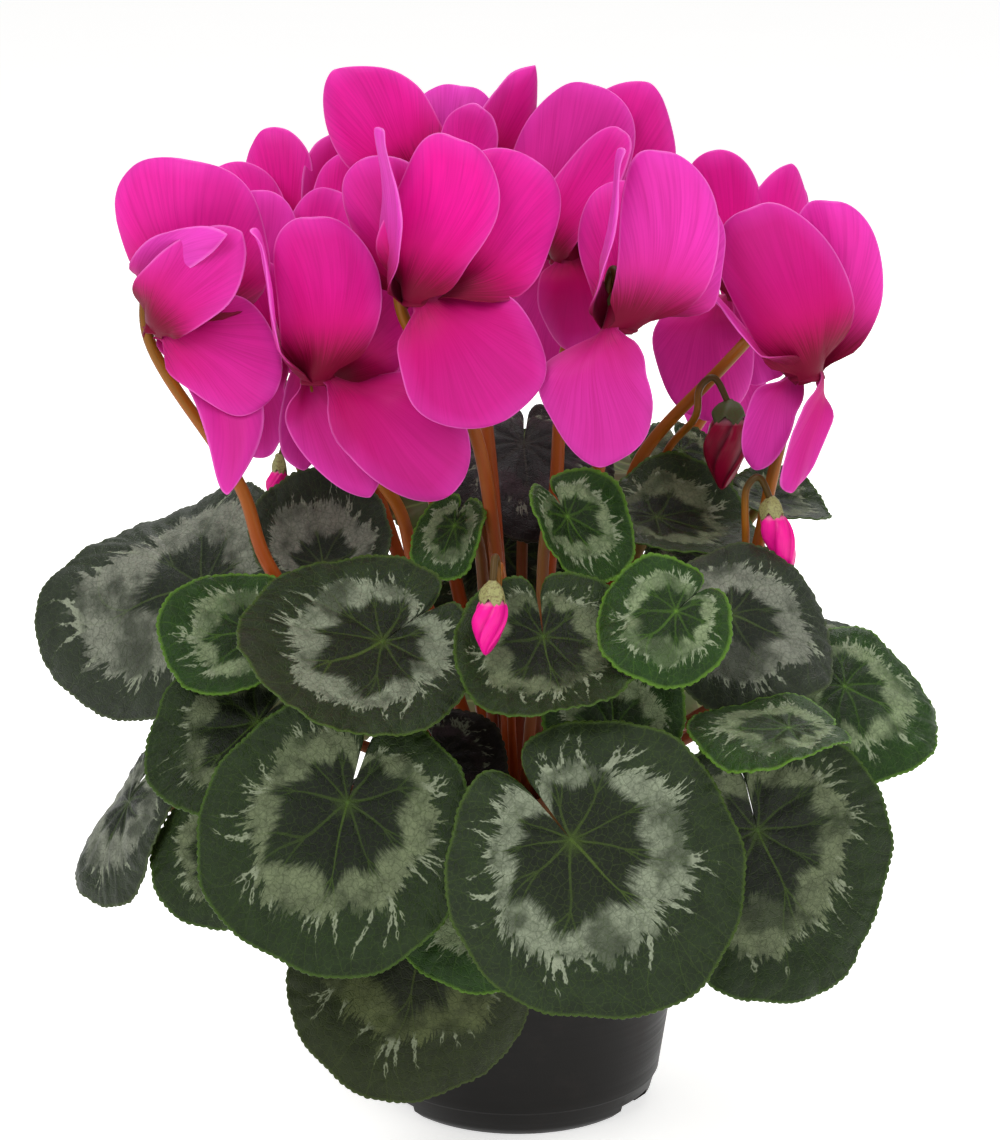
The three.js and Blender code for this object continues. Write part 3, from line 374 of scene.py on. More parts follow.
def leaf_skin(kind):
    """Waxy upper skin of a grown leaf: a dark field, a silver band whose edges feather along the veins, thin
    green veins in the heart and a bright rim. The wax gives it a soft cool gloss."""
    field, heart, silver, vein, rim = map(linear, LEAF_KINDS[kind][:5])
    material, n, out = blank_material("waxy_leaf_skin_" + kind)
    place, *branches = map_parts(n, "veins")
    reach, width, seed = map_parts(n, "blade")
    start, stop, spike_end = map_parts(n, "band")
    flat = n("Attribute", attribute_name="flat", output="Vector")
    # The distance in millimetres to the main vein and to its two pairs of branches.
    aside = n("Math", [place, 0.5], operation="PINGPONG")
    main = n("Math", [aside, width], operation="MULTIPLY")
    forks = []
    for branch in branches:
        off = n("Math", [n("Math", [aside, branch], operation="SUBTRACT")], operation="ABSOLUTE")
        forks.append(n("Math", [off, width], operation="MULTIPLY"))
    near_fork = n("Math", forks, operation="MINIMUM")
    near = n("Math", [main, near_fork], operation="MINIMUM")
    # Fine streaks that run out along the veins feather the band's edges.
    spot = n("CombineXYZ", [place, reach, seed])
    streak_at = n("VectorMath", [spot, (22.0, 9.0, 1.0)], operation="MULTIPLY")
    streak = n("TexNoise", {"Vector": streak_at, "Scale": 1.0, "Detail": 2.0, "Roughness": 0.6})
    blotch = n("TexNoise", {"Vector": flat, "Scale": 0.16, "Detail": 3.0, "Roughness": 0.6})
    # The cells of the finest veins, 2.2 mm across.
    warp = n("TexNoise", {"Vector": flat, "Scale": 0.5}, output=1, **FLAT_NOISE)
    cell_at = n("VectorMath", [flat, n("VectorMath", {0: warp, "Scale": 1.6}, operation="SCALE")])
    cell = n("TexVoronoi", {"Vector": cell_at, "Scale": 0.45}, feature="DISTANCE_TO_EDGE", **FLAT_CELLS)
    net = n("MapRange", [cell, 0.0, 0.12, 1.0, 0.0], **SMOOTH)
    thread_at = n("VectorMath", [streak_at, (2.7, 1.9, 1.0)], operation="MULTIPLY")
    thread = n("TexNoise", {"Vector": thread_at, "Scale": 1.0, "Detail": 1.0})
    rough_edge = n("Math", [streak, n("Math", [thread, 0.3], operation="MULTIPLY")])
    shift = n("Math", [n("Math", [rough_edge, 0.65], operation="SUBTRACT"), 0.3], operation="MULTIPLY")
    lobed_at = n("VectorMath", [spot, (4.5, 3.0, 1.0)], operation="MULTIPLY")
    lobed = n("TexNoise", {"Vector": lobed_at, "Scale": 1.0, "Detail": 1.0})
    lobes = n("Math", [n("Math", [lobed, 0.5], operation="SUBTRACT"), 0.2], operation="MULTIPLY")
    shift = n("Math", [shift, lobes])
    ragged = n("Math", [reach, shift])
    calm = n("Math", [reach, n("Math", [shift, 0.55], operation="MULTIPLY")])
    inner = n("MapRange", [n("Math", [calm, start], operation="SUBTRACT"), -0.02, 0.055, 0.0, 1.0])
    outer = n("MapRange", [n("Math", [ragged, stop], operation="SUBTRACT"), -0.012, 0.012, 1.0, 0.0])
    silvered = n("Math", [inner, outer], operation="MULTIPLY")
    # Spikes of silver along the veins past the band, thinning to nothing at their end.
    spike_width = n("MapRange", [reach, n("Math", [stop, 0.06], operation="SUBTRACT"), spike_end, 1.05, 0.12])
    uneven = n("MapRange", [rough_edge, 0.5, 0.9, 0.3, 1.5])
    spike_width = n("Math", [spike_width, uneven], operation="MULTIPLY")
    # The spikes wander off their veins by up to a millimetre, so they fork and break.
    wander = n("TexNoise", {"Vector": flat, "Scale": 0.35, "Detail": 2.0})
    wander = n("MapRange", [wander, 0.3, 0.7, -0.5, 0.8])
    astray = n("Math", [n("Math", [near, wander], operation="SUBTRACT")], operation="ABSOLUTE")
    over = n("Math", [spike_width, astray], operation="SUBTRACT")
    spike = n("MapRange", [over, 0.0, 0.3, 0.0, 1.0])
    for limit, fade in ((stop, (-0.05, 0.0, 0.0, 1.0)), (spike_end, (-0.03, 0.0, 1.0, 0.0))):
        within = n("MapRange", [n("Math", [reach, limit], operation="SUBTRACT"), *fade])
        spike = n("Math", [spike, within], operation="MULTIPLY")
    patch = n("TexNoise", {"Vector": flat, "Scale": 0.055, "Detail": 3.0, "Roughness": 0.6})
    silvered = n("Math", [silvered, n("MapRange", [patch, 0.4, 0.52, 0.3, 1.0])], operation="MULTIPLY")
    silvered = n("Math", [silvered, spike], operation="MAXIMUM")
    # The dark field with its darker heart, its net and its veins.
    centre = n("MapRange", [reach, 0.25, 0.75, 0.0, 1.0], **SMOOTH)
    base = n("Mix", {0: centre, 6: heart, 7: field}, **RGB)
    tone = n("MapRange", [blotch, 0.3, 0.7, 0.72, 1.3])
    base = n("Mix", {0: 1.0, 6: base, 7: n("CombineColor", [tone, tone, tone])}, **TINT)
    faint = n("Math", [net, 0.18], operation="MULTIPLY")
    base = n("Mix", {0: faint, 6: base, 7: vein}, **RGB)
    vein_width = n("MapRange", [reach, 0.0, 0.7, 0.5, 0.16])
    line = n("MapRange", [n("Math", [near, vein_width], operation="DIVIDE"), 0.5, 1.2, 1.0, 0.0], **SMOOTH)
    # The vein to the tip is the clearest.
    chief = n("MapRange", [n("Math", [place], operation="ABSOLUTE"), 0.3, 0.6, 1.0, 0.6])
    line = n("Math", [line, n("MapRange", [reach, 0.05, 0.75, 0.68, 0.26])], operation="MULTIPLY")
    line = n("Math", [line, chief], operation="MULTIPLY")
    hub = n("MapRange", [reach, 0.01, 0.12, 0.4, 0.0], **SMOOTH)
    line = n("Math", [line, hub], operation="MAXIMUM")
    greened = n("Mix", {0: line, 6: base, 7: vein}, **RGB)
    # The silver, dappled, with the net and the veins showing through.
    grain = n("TexNoise", {"Vector": flat, "Scale": 1.3, "Detail": 2.0})
    dapple = n("MapRange", [n("Math", [blotch, n("Math", [grain, 0.7], operation="MULTIPLY")]),
                            0.65, 1.05, 0.68, 1.25])
    pale = n("Mix", {0: 1.0, 6: silver, 7: n("CombineColor", [dapple, dapple, dapple])}, **TINT)
    pale = n("Mix", {0: n("Math", [net, 0.3], operation="MULTIPLY"), 6: pale, 7: field}, **RGB)
    pale = n("Mix", {0: n("Math", [line, 0.45], operation="MULTIPLY"), 6: pale, 7: vein}, **RGB)
    pale = n("Mix", {0: n("Math", [spike, 0.55], operation="MULTIPLY"), 6: pale, 7: linear("#8E967F")}, **RGB)
    skin = n("Mix", {0: n("Math", [silvered, 0.92], operation="MULTIPLY"), 6: greened, 7: pale}, **RGB)
    edge = n("MapRange", [n("Math", [n("Math", [reach, -1.0]), width], operation="MULTIPLY"),
                          -0.6, -0.1, 0.0, 0.75])
    skin = n("Mix", {0: edge, 6: skin, 7: rim}, **RGB)
    rough = n("MapRange", [silvered, 0.0, 1.0, 0.36, 0.5])
    # The skin is quilted between its fine veins.
    pores = n("TexNoise", {"Vector": flat, "Scale": 2.5, "Detail": 2.0}, **FLAT_NOISE)
    lift = n("Math", [n("Math", [net, -0.5], operation="MULTIPLY"), pores])
    quilt = n("TexVoronoi", {"Vector": cell_at, "Scale": 0.24}, feature="SMOOTH_F1", **FLAT_CELLS)
    lift = n("Math", [lift, n("Math", [quilt, -2.2], operation="MULTIPLY")])
    bump = n("Bump", {"Strength": 0.75, "Distance": 0.0003, "Height": lift})
    shader = n("BsdfPrincipled", {"Base Color": skin, "Roughness": rough, "Normal": bump, "IOR": 1.45,
                                  "Specular IOR Level": 0.2})
    return close_material(material, shader, out)


def leaf_underskin(colours):
    """Matt lower skin of a leaf: olive, flushed red-brown, with raised paler veins."""
    material, n, out = blank_material("matt_leaf_underskin")
    place, branch, _ = map_parts(n, "veins")
    width = map_parts(n, "blade")[1]
    flat = n("Attribute", attribute_name="flat", output="Vector")
    aside = n("Math", [place, 0.5], operation="PINGPONG")
    main = n("Math", [aside, width], operation="MULTIPLY")
    fork = n("Math", [n("Math", [aside, branch], operation="SUBTRACT")], operation="ABSOLUTE")
    near = n("Math", [main, n("Math", [fork, width], operation="MULTIPLY")], operation="MINIMUM")
    line = n("MapRange", [near, 0.25, 0.8, 0.5, 0.0], **SMOOTH)
    flush = n("TexNoise", {"Vector": flat, "Scale": 0.07, "Detail": 3.0})
    flush = n("MapRange", [flush, 0.4, 0.7, 0.0, 0.75])
    skin = n("Mix", {0: flush, 6: colours.underside, 7: linear("#6E4436")}, **RGB)
    skin = n("Mix", {0: line, 6: skin, 7: linear("#808A4A")}, **RGB)
    cells = n("TexVoronoi", {"Vector": flat, "Scale": 0.5}, feature="DISTANCE_TO_EDGE", **FLAT_CELLS)
    bump = n("Bump", {"Strength": 0.3, "Distance": 0.0003, "Height": cells})
    shader = n("BsdfPrincipled", {"Base Color": skin, "Roughness": 0.6, "Normal": bump,
                                  "Specular IOR Level": 0.35})
    return close_material(material, shader, out)


def petal_skin(colours, back):
    """Silky petal skin: its cells scatter light, so it glows, with streaks that fan out from a dark root and
    a paler rim. The back is more lilac. The darker face of petals that hang is painted shade."""
    material, n, out = blank_material("silky_petal_back" if back else "silky_petal_face")
    angle, along, seed = map_parts(n, "fan")
    rim, depth, lilac = map_parts(n, "rim")
    spot = n("CombineXYZ", [angle, along, seed])
    streak_at = n("VectorMath", [spot, (58.0, 2.2, 1.0)], operation="MULTIPLY")
    streak = n("TexNoise", {"Vector": streak_at, "Scale": 1.0, "Detail": 2.5, "Roughness": 0.6})
    wide_at = n("VectorMath", [spot, (7.0, 1.5, 1.0)], operation="MULTIPLY")
    wide = n("TexNoise", {"Vector": wide_at, "Scale": 1.0, "Detail": 1.0})
    tone_and_shade, pale, darker = colours.petal_tone_and_shade, colours.petal_back, linear("#A80060")
    # Painted shade: the face darkens by each petal's share of shade, most on petals that hang, partly their
    # own deeper tone.
    face = n("Mix", {0: depth, 6: colours.petal, 7: tone_and_shade}, **RGB)
    face = n("Mix", {0: n("Math", [lilac, 0.3 if back else 0.0]), 6: face, 7: pale}, **RGB)
    tone = n("MapRange", [streak, 0.42, 0.68, 0.0, 0.3])
    skin = n("Mix", {0: tone, 6: face, 7: darker}, **RGB)
    skin = n("Mix", {0: n("MapRange", [wide, 0.4, 0.75, 0.0, 0.2]), 6: skin, 7: darker}, **RGB)
    fold = n("MapRange", [along, 0.1, 0.64, 0.72, 0.0], **SMOOTH)
    skin = n("Mix", {0: fold, 6: skin, 7: linear("#C2004A")}, **RGB)
    feathered = n("Math", [n("Math", [streak, 0.5], operation="SUBTRACT"), 0.3], operation="MULTIPLY")
    eye = n("MapRange", [n("Math", [along, feathered]), 0.12, 0.4, 0.95, 0.0], **SMOOTH)
    skin = n("Mix", {0: eye, 6: skin, 7: colours.petal_eye}, **RGB)
    # The root is too narrow for a pale rim: its eye runs from side to side.
    past_root = n("MapRange", [along, 0.2, 0.48, 0.0, 1.0])
    paler = n("Math", [n("MapRange", [rim, 0.0, 6.0, 0.28, 0.0]), past_root], operation="MULTIPLY")
    outward = n("Math", [n("MapRange", [along, 0.55, 1.0, 0.0, 0.18]), paler])
    skin = n("Mix", {0: outward, 6: skin, 7: pale}, **RGB)
    line = n("Math", [n("MapRange", [rim, 0.1, 0.65, 0.55, 0.0]), past_root], operation="MULTIPLY")
    skin = n("Mix", {0: line, 6: skin, 7: linear("#F27EDA")}, **RGB)
    bump = n("Bump", {"Strength": 0.25, "Distance": 0.0002, "Height": streak})
    gloss = n("BsdfPrincipled", {"Base Color": skin, "Roughness": 0.5, "Normal": bump,
                                 "Specular IOR Level": 0.14, "Sheen Weight": 0.04, "Sheen Roughness": 0.5,
                                 "Sheen Tint": (1, 0.7, 0.95, 1)})
    glow = n("BsdfTranslucent", {"Color": skin})
    shader = n("MixShader", {0: 0.3, 1: gloss, 2: glow})
    return close_material(material, shader, out)


def stem_skin(name, low, middle, high, speckle):
    """Smooth, slightly glossy skin of a stem, its colour passing from foot to top, with fine lengthwise
    streaks."""
    material, n, out = blank_material(name)
    along, round_, seed = map_parts(n, "stem")
    spot = n("CombineXYZ", [round_, along, seed])
    shade_at = n("VectorMath", [spot, (5.0, 6.0, 1.0)], operation="MULTIPLY")
    shade = n("TexNoise", {"Vector": shade_at, "Scale": 1.0, "Detail": 2.0})
    uneven = n("Math", [n("Math", [shade, 0.5], operation="SUBTRACT"), speckle], operation="MULTIPLY")
    share = n("Math", [along, uneven])
    skin = n("Mix", {0: n("MapRange", [share, 0.1, 0.5, 0.0, 1.0]), 6: low, 7: middle}, **RGB)
    skin = n("Mix", {0: n("MapRange", [share, 0.42, 0.74, 0.0, 1.0]), 6: skin, 7: high}, **RGB)
    bump = n("Bump", {"Strength": 0.2, "Distance": 0.0002, "Height": shade})
    shader = n("BsdfPrincipled", {"Base Color": skin, "Roughness": 0.42, "Normal": bump,
                                  "Specular IOR Level": 0.2})
    return close_material(material, shader, out)


def sepal_skin(name, green, fleck):
    """Matt sepals, green with brown flecks."""
    material, n, out = blank_material(name)
    place = n("TexCoord", output="Object")
    dot = n("TexNoise", {"Vector": place, "Scale": 1600.0, "Detail": 2.0})
    skin = n("Mix", {0: n("MapRange", [dot, 0.45, 0.7, 0.0, 0.8]), 6: green, 7: fleck}, **RGB)
    shader = n("BsdfPrincipled", {"Base Color": skin, "Roughness": 0.55})
    return close_material(material, shader, out)


def bud_skin(name, face, tone_and_shade):
    """Glossy furled petals: bright with painted shade in the seams that wind round the bud, and darker
    streaks.
    """
    material, n, out = blank_material(name)
    along, fold, seed = map_parts(n, "stem")
    spot = n("CombineXYZ", [fold, along, seed])
    streak_at = n("VectorMath", [spot, (9.0, 2.0, 1.0)], operation="MULTIPLY")
    streak = n("TexNoise", {"Vector": streak_at, "Scale": 1.0, "Detail": 2.0})
    # Painted shade in the crease where each furled petal tucks under the next.
    crease_shade = n("MapRange", [n("Math", [fold], operation="FRACT"), 0.0, 0.35, 0.85, 0.0], **SMOOTH)
    skin = n("Mix", {0: crease_shade, 6: face, 7: tone_and_shade}, **RGB)
    skin = n("Mix", {0: n("MapRange", [streak, 0.4, 0.7, 0.0, 0.35]), 6: skin, 7: tone_and_shade}, **RGB)
    skin = n("Mix", {0: n("MapRange", [along, 0.1, 0.0, 0.0, 0.6]), 6: skin, 7: linear("#D9A9B4")}, **RGB)
    shader = n("BsdfPrincipled", {"Base Color": skin, "Roughness": 0.36, "Specular IOR Level": 0.2})
    return close_material(material, shader, out)


def cork_skin(colours):
    """Corky skin of the tuber: rough, cracked into plates a few millimetres across."""
    material, n, out = blank_material("corky_tuber_skin")
    place = n("TexCoord", output="Object")
    crack = n("TexVoronoi", {"Vector": place, "Scale": 260.0}, feature="DISTANCE_TO_EDGE")
    grain = n("TexNoise", {"Vector": place, "Scale": 900.0, "Detail": 4.0})
    skin = n("Mix", {0: n("MapRange", [grain, 0.3, 0.7, 0.0, 0.6]), 6: colours.tuber, 7: linear("#2E2018")},
             **RGB)
    skin = n("Mix", {0: n("MapRange", [crack, 0.0, 0.1, 0.8, 0.0]), 6: skin, 7: linear("#1E1510")}, **RGB)
    height = n("Math", [n("MapRange", [crack, 0.0, 0.2, 0.0, 1.0]), grain])
    bump = n("Bump", {"Strength": 0.7, "Distance": 0.0006, "Height": height})
    shader = n("BsdfPrincipled", {"Base Color": skin, "Roughness": 0.9, "Normal": bump})
    return close_material(material, shader, out)


def peat_finish(colours):
    """Moist peat: dark fibrous crumbs with a few pale ones, and hardly any shine."""
    material, n, out = blank_material("moist_peat")
    place = n("TexCoord", output="Object")
    grain = n("TexNoise", {"Vector": place, "Scale": 700.0, "Detail": 5.0, "Roughness": 0.65})
    lump = n("TexNoise", {"Vector": place, "Scale": 160.0, "Detail": 3.0})
    skin = n("Mix", {0: n("MapRange", [grain, 0.35, 0.7, 0.0, 1.0]), 6: linear("#17100B"), 7: colours.peat},
             **RGB)
    skin = n("Mix", {0: n("MapRange", [lump, 0.5, 0.75, 0.0, 0.6]), 6: skin, 7: linear("#4A3626")}, **RGB)
    bump = n("Bump", {"Strength": 0.8, "Distance": 0.0008, "Height": grain})
    shader = n("BsdfPrincipled", {"Base Color": skin, "Roughness": 0.95, "Normal": bump,
                                  "Specular IOR Level": 0.25})
    return close_material(material, shader, out)


def pot_plastic(colours):
    """Moulded black polypropylene: satin, a little uneven in its shine, with faint flow marks round the wall
    and patches of peat dust."""
    material, n, out = blank_material("moulded_black_polypropylene")
    place = n("TexCoord", output="Object")
    flow_at = n("VectorMath", [place, (12.0, 12.0, 900.0)], operation="MULTIPLY")
    flow = n("TexNoise", {"Vector": flow_at, "Scale": 1.0, "Detail": 3.0})
    fine = n("TexNoise", {"Vector": place, "Scale": 2400.0, "Detail": 2.0})
    dust = n("TexNoise", {"Vector": place, "Scale": 45.0, "Detail": 5.0, "Roughness": 0.7})
    dusty = n("MapRange", [dust, 0.55, 0.75, 0.0, 0.35])
    skin = n("Mix", {0: dusty, 6: colours.pot, 7: linear("#2A2421")}, **RGB)
    rough = n("MapRange", [n("Math", [flow, dusty]), 0.3, 0.9, 0.38, 0.56])
    height = n("Math", [n("Math", [flow, 0.6], operation="MULTIPLY"), fine])
    bump = n("Bump", {"Strength": 0.15, "Distance": 0.0002, "Height": height})
    shader = n("BsdfPrincipled", {"Base Color": skin, "Roughness": rough, "Normal": bump, "IOR": 1.49,
                                  "Specular IOR Level": 0.2})
    return close_material(material, shader, out)


def paper_finish(colours):
    """Matt pale paper of the stage, a touch uneven, with a glow that keeps it white far out."""
    material, n, out = blank_material("matt_studio_paper")
    place = n("TexCoord", output="Object")
    cloud = n("TexNoise", {"Vector": place, "Scale": 3.0, "Detail": 2.0})
    tone = n("MapRange", [cloud, 0.3, 0.7, 0.985, 1.0])
    skin = n("Mix", {0: 1.0, 6: colours.floor, 7: n("CombineColor", [tone, tone, tone])}, **TINT)
    shader = n("BsdfPrincipled", {"Base Color": skin, "Roughness": 0.9, "Specular IOR Level": 0.2,
                                  "Emission Color": (1, 1, 1, 1), "Emission Strength": PAPER_GLOW})
    return close_material(material, shader, out)


# ---------------------------------------------------------------- mesh tools


def make_piece(name, points, faces, materials, kinds=None, maps=None, slot=None, replaced=()):
    """A smooth mesh object from points in millimetres, riding on the root body."""
    mesh = bpy.data.meshes.new(name)
    mesh.from_pydata((np.asarray(points, float) * MM).tolist(), [], faces)
    for material in materials:
        mesh.materials.append(material)
    if kinds is not None:
        mesh.polygons.foreach_set("material_index", np.asarray(kinds, np.int32))
    mesh.polygons.foreach_set("use_smooth", np.ones(len(mesh.polygons), bool))
    for key, values in (maps or {}).items():
        layer = mesh.attributes.new(key, "FLOAT_VECTOR", "POINT")
        layer.data.foreach_set("vector", np.asarray(values, np.float32).ravel())
    mesh.update()
    piece = bpy.data.objects.new(name, mesh)
    bpy.context.scene.collection.objects.link(piece)
    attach(piece, "root")
    if replaced:
        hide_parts(*replaced)
    return piece


class Builder:
    """Gathers points, faces, materials and maps of one piece."""

    def __init__(self):
        self.points, self.faces, self.kinds, self.maps, self.count = [], [], [], {}, 0

    def add(self, points, faces, kinds, maps=None):
        """Adds a part of the piece; its kinds are one material's place in the list or one for each face."""
        self.points.append(np.asarray(points, float))
        self.faces += [tuple(int(i) + self.count for i in face) for face in faces]
        self.kinds += [kinds] * len(faces) if isinstance(kinds, int) else list(kinds)
        for key, values in (maps or {}).items():
            self.maps.setdefault(key, []).append(np.asarray(values, float))
        self.count += len(points)

    def piece(self, name, materials, slot, replaced):
        """Makes the piece from its parts."""
        maps = {key: np.concatenate(values) for key, values in self.maps.items()}
        points = np.concatenate(self.points)
        return make_piece(name, points, self.faces, materials, self.kinds, maps, slot, replaced)


def direction(azimuth, elevation):
    """A unit vector from its angles in degrees."""
    level = math.cos(elevation * DEGREE)
    return np.array([level * math.cos(azimuth * DEGREE), level * math.sin(azimuth * DEGREE),
                     math.sin(elevation * DEGREE)])


def unit(v):
    """The vector or vectors at length 1."""
    return v / np.maximum(np.linalg.norm(v, axis=-1, keepdims=True), 1e-9)


def turned_about(v, axis, angle):
    """The vector turned about a unit axis by an angle in radians."""
    return (v * math.cos(angle) + np.cross(axis, v) * math.sin(angle)
            + axis * np.dot(axis, v) * (1 - math.cos(angle)))


def ease(x, start=0.0, end=1.0):
    """A smooth step from 0 to 1."""
    x = np.clip((x - start) / (end - start), 0, 1)
    return x * x * (3 - 2 * x)


def bent_by(distance, curvature):
    """How far a bend of an arc brings a point along, and how far it lifts it."""
    if abs(curvature) < 1e-6:
        return distance, curvature * distance**2 / 2
    angle = curvature * distance
    return np.sin(angle) / curvature, (1 - np.cos(angle)) / curvature


def swell(at, seed, scale):
    """A soft uneven swell between about -1 and 1 over flat points, from a few crossing waves."""
    rng = np.random.default_rng(seed)
    total = 0
    for _ in range(5):
        way = rng.normal(size=2) / scale
        total = total + np.sin(at[:, 0] * way[0] + at[:, 1] * way[1] + rng.uniform(0, FULL_TURN))
    return total / 3


def doubled(maps):
    """The maps of a blade's points, once for its upper and once for its lower face."""
    return {key: np.concatenate([values, values]) for key, values in maps.items()}


def ring_faces(start_a, start_b, count_a, ratio):
    """Faces between a row of points, a, and the next row out, b, which has one or two gaps to each of a's."""
    faces = []
    for i in range(count_a - 1):
        a, b = start_a + i, start_b + ratio * i
        if ratio == 1:
            faces.append((a, b, b + 1, a + 1))
        else:
            faces += [(a, b, b + 1), (a, b + 1, a + 1), (a + 1, b + 1, b + 2)]
    return faces


def blade_mesh(flat, faces, border, surface, thickness, relief):
    """A closed blade: flat points laid on a surface, lifted along its normals by the relief, with an upper
    and a lower face and a wall round the rim."""
    step = 0.05
    u, v = flat[:, 0], flat[:, 1]
    across = surface(u + step, v) - surface(u - step, v)
    along = surface(u, v + step) - surface(u, v - step)
    normal = unit(np.cross(across, along))
    middle = surface(u, v) + normal * relief[:, None]
    half = (thickness / 2)[:, None]
    upper, lower = middle + normal * half, middle - normal * half
    count = len(flat)
    made = list(faces)
    made += [tuple(count + i for i in reversed(face)) for face in faces]
    made += [(a, count + a, count + b, b) for a, b in zip(border, border[1:] + border[:1])]
    return np.concatenate([upper, lower]), made


def tube_mesh(points, radii, sides, seed):
    """A closed round stem along a smooth curve through points, with a map of how far along and round."""
    steps = 12 * (len(points) - 1)
    shares = np.linspace(0, 1, steps + 1)
    centres = np.array([curve_point(points, s) for s in shares])
    for _ in range(12):
        centres[1:-1] = (centres[:-2] + 2 * centres[1:-1] + centres[2:]) / 4
    tangents = unit(np.gradient(centres, axis=0))
    side = unit(np.cross([math.cos(seed), math.sin(seed), 0], tangents[0]))
    rings, maps = [], []
    for share, centre, along in zip(shares, centres, tangents):
        side = unit(side - along * np.dot(side, along))
        other = np.cross(along, side)
        radius = radii[0] + (radii[1] - radii[0]) * share
        for k in range(sides):
            angle = 2 * math.pi * k / sides
            rings.append(centre + (side * math.cos(angle) + other * math.sin(angle)) * radius)
            maps.append((share, abs(1 - 2 * k / sides), seed))
    return np.array(rings), lathe_faces(steps + 1, sides), np.array(maps)


def lathe_faces(rows, sides):
    """The faces of rings of points, closed round and capped at both ends."""
    faces = []
    for i in range(rows - 1):
        for k in range(sides):
            a, b = i * sides + k, i * sides + (k + 1) % sides
            faces.append((a, b, b + sides, a + sides))
    end = (rows - 1) * sides
    return faces + [tuple(reversed(range(sides))), tuple(range(end, end + sides))]


def turned_rings(profile, sides):
    """The rings of points of a round body, from its profile of radii and heights."""
    turns = [2 * math.pi * k / sides for k in range(sides)]
    return np.array([(r * math.cos(turn), r * math.sin(turn), z) for r, z in profile for turn in turns])


def flipped(faces):
    """The faces turned round to look the other way."""
    return [tuple(reversed(face)) for face in faces]


def curve_point(points, share):
    """A point of a centripetal Catmull-Rom curve, its share counted evenly from point to point."""
    last = len(points) - 1
    place = share * last
    i = min(int(place), last - 1)
    w = place - i
    p1, p2 = points[i], points[i + 1]
    p0 = points[i - 1] if i else 2 * points[0] - points[1]
    p3 = points[i + 2] if i + 2 <= last else 2 * points[last] - points[last - 1]
    d0, d1, d2 = (max(np.dot(b - a, b - a), 1e-8) ** 0.25 for a, b in ((p0, p1), (p1, p2), (p2, p3)))
    t1 = ((p1 - p0) / d0 - (p2 - p0) / (d0 + d1) + (p2 - p1) / d1) * d1
    t2 = ((p2 - p1) / d1 - (p3 - p1) / (d1 + d2) + (p3 - p2) / d2) * d1
    return p1 + t1 * w + (-3 * p1 + 3 * p2 - 2 * t1 - t2) * w**2 + (2 * p1 - 2 * p2 + t1 + t2) * w**3


def crown_point(place, radius):
    """Where a stem leaves the tuber's crown: in the direction of a place, nearer the middle if that is."""
    out = radius / max(60, math.hypot(place[0], place[1]))
    return np.array([place[0] * out, place[1] * out, CROWN["height"]])


# ---------------------------------------------------------------- leaves


def leaf_reach(angle, radius, lobes):
    """The outline: a circle seen from the junction, shallowly lobed, pinched to a slit behind it."""
    depth, count, phase = lobes or (0, 1, 0)
    circle = LEAF_OFFSET * np.cos(angle) + np.sqrt(1 - (LEAF_OFFSET * np.sin(angle)) ** 2)
    slit = np.sqrt(1 - (np.abs(angle) / math.pi) ** (2 * SLIT_POWER))
    return radius * circle * slit * (1 + depth * np.cos(count * angle + phase * DEGREE))


def leaf_frame(faces, turn):
    """The directions of a blade at its junction: up from its face, to its tip, and across."""
    normal = direction(*faces)
    tip = turned_about(direction(faces[0], faces[1] - 90), normal, turn * DEGREE)
    return normal, tip, np.cross(tip, normal)


def leaf_surface(leaf):
    """The middle surface of a blade: flat, then bent both ways and waved towards its rim."""
    normal, tip, across = leaf_frame(leaf.faces, leaf.turn)
    radius = leaf.radius
    height, count, phase = leaf.wave

    def surface(u, v):
        x, lift_x = bent_by(u, leaf.bend[0] * DEGREE / radius)
        y, lift_y = bent_by(v, leaf.bend[1] * DEGREE / radius)
        round_ = np.arctan2(u, v)
        ripple = height * radius * (u * u + v * v) / radius**2 * np.sin(count * round_ + phase * DEGREE)
        return (np.array(leaf.at, float) + np.outer(x, across) + np.outer(y, tip)
                + np.outer(lift_x + lift_y + ripple, normal))

    return surface


def vein_plan(angle, share, rng):
    """Which main vein a place is near, how far aside its two pairs of branches lie there, and how far along
    the branches' spikes run: all as smooth fields with each leaf's own unevenness."""
    a, b, c, d = rng.uniform(0, FULL_TURN, 4)
    place = angle / SECTOR + 0.16 * np.sin(2 * angle + a) + 0.1 * share * np.sin(5 * angle + b)
    place = place + 0.07 * np.sin(9 * share + 3 * angle + d)
    fork = 0.36 + 0.07 * np.sin(3.1 * angle + c)
    second = 0.62 + 0.06 * np.sin(4.3 * angle + d)
    x = (share - fork) / (0.98 - fork)
    first_branch = np.where(x > 0, 0.46 * (1 - (1 - np.clip(x, 0, 1)) ** 1.5), x * 1.2)
    y = (share - second) / (1 - second)
    second_branch = np.where(y > 0, 0.2 * np.clip(y, 0, 1) ** 0.85, y * 0.8)
    return place, first_branch, second_branch


def leaf_outline(radius, lobes, spacing):
    """Angles at even distances round the rim, four to a tooth, and the tooth's height share at each."""
    fine = np.linspace(-SLIT_EDGE, SLIT_EDGE, 4001) * math.pi
    reach = leaf_reach(fine, radius, lobes)
    x, y = reach * np.sin(fine), reach * np.cos(fine)
    run = np.concatenate([[0], np.cumsum(np.hypot(np.diff(x), np.diff(y)))])
    teeth = max(12, 2 * round(run[-1] / spacing / 2))
    angles = np.interp(np.linspace(0, run[-1], 4 * teeth + 1), run, fine)
    return angles, np.tile([0, 0.75, 1, 0.75], teeth + 1)[: 4 * teeth + 1]


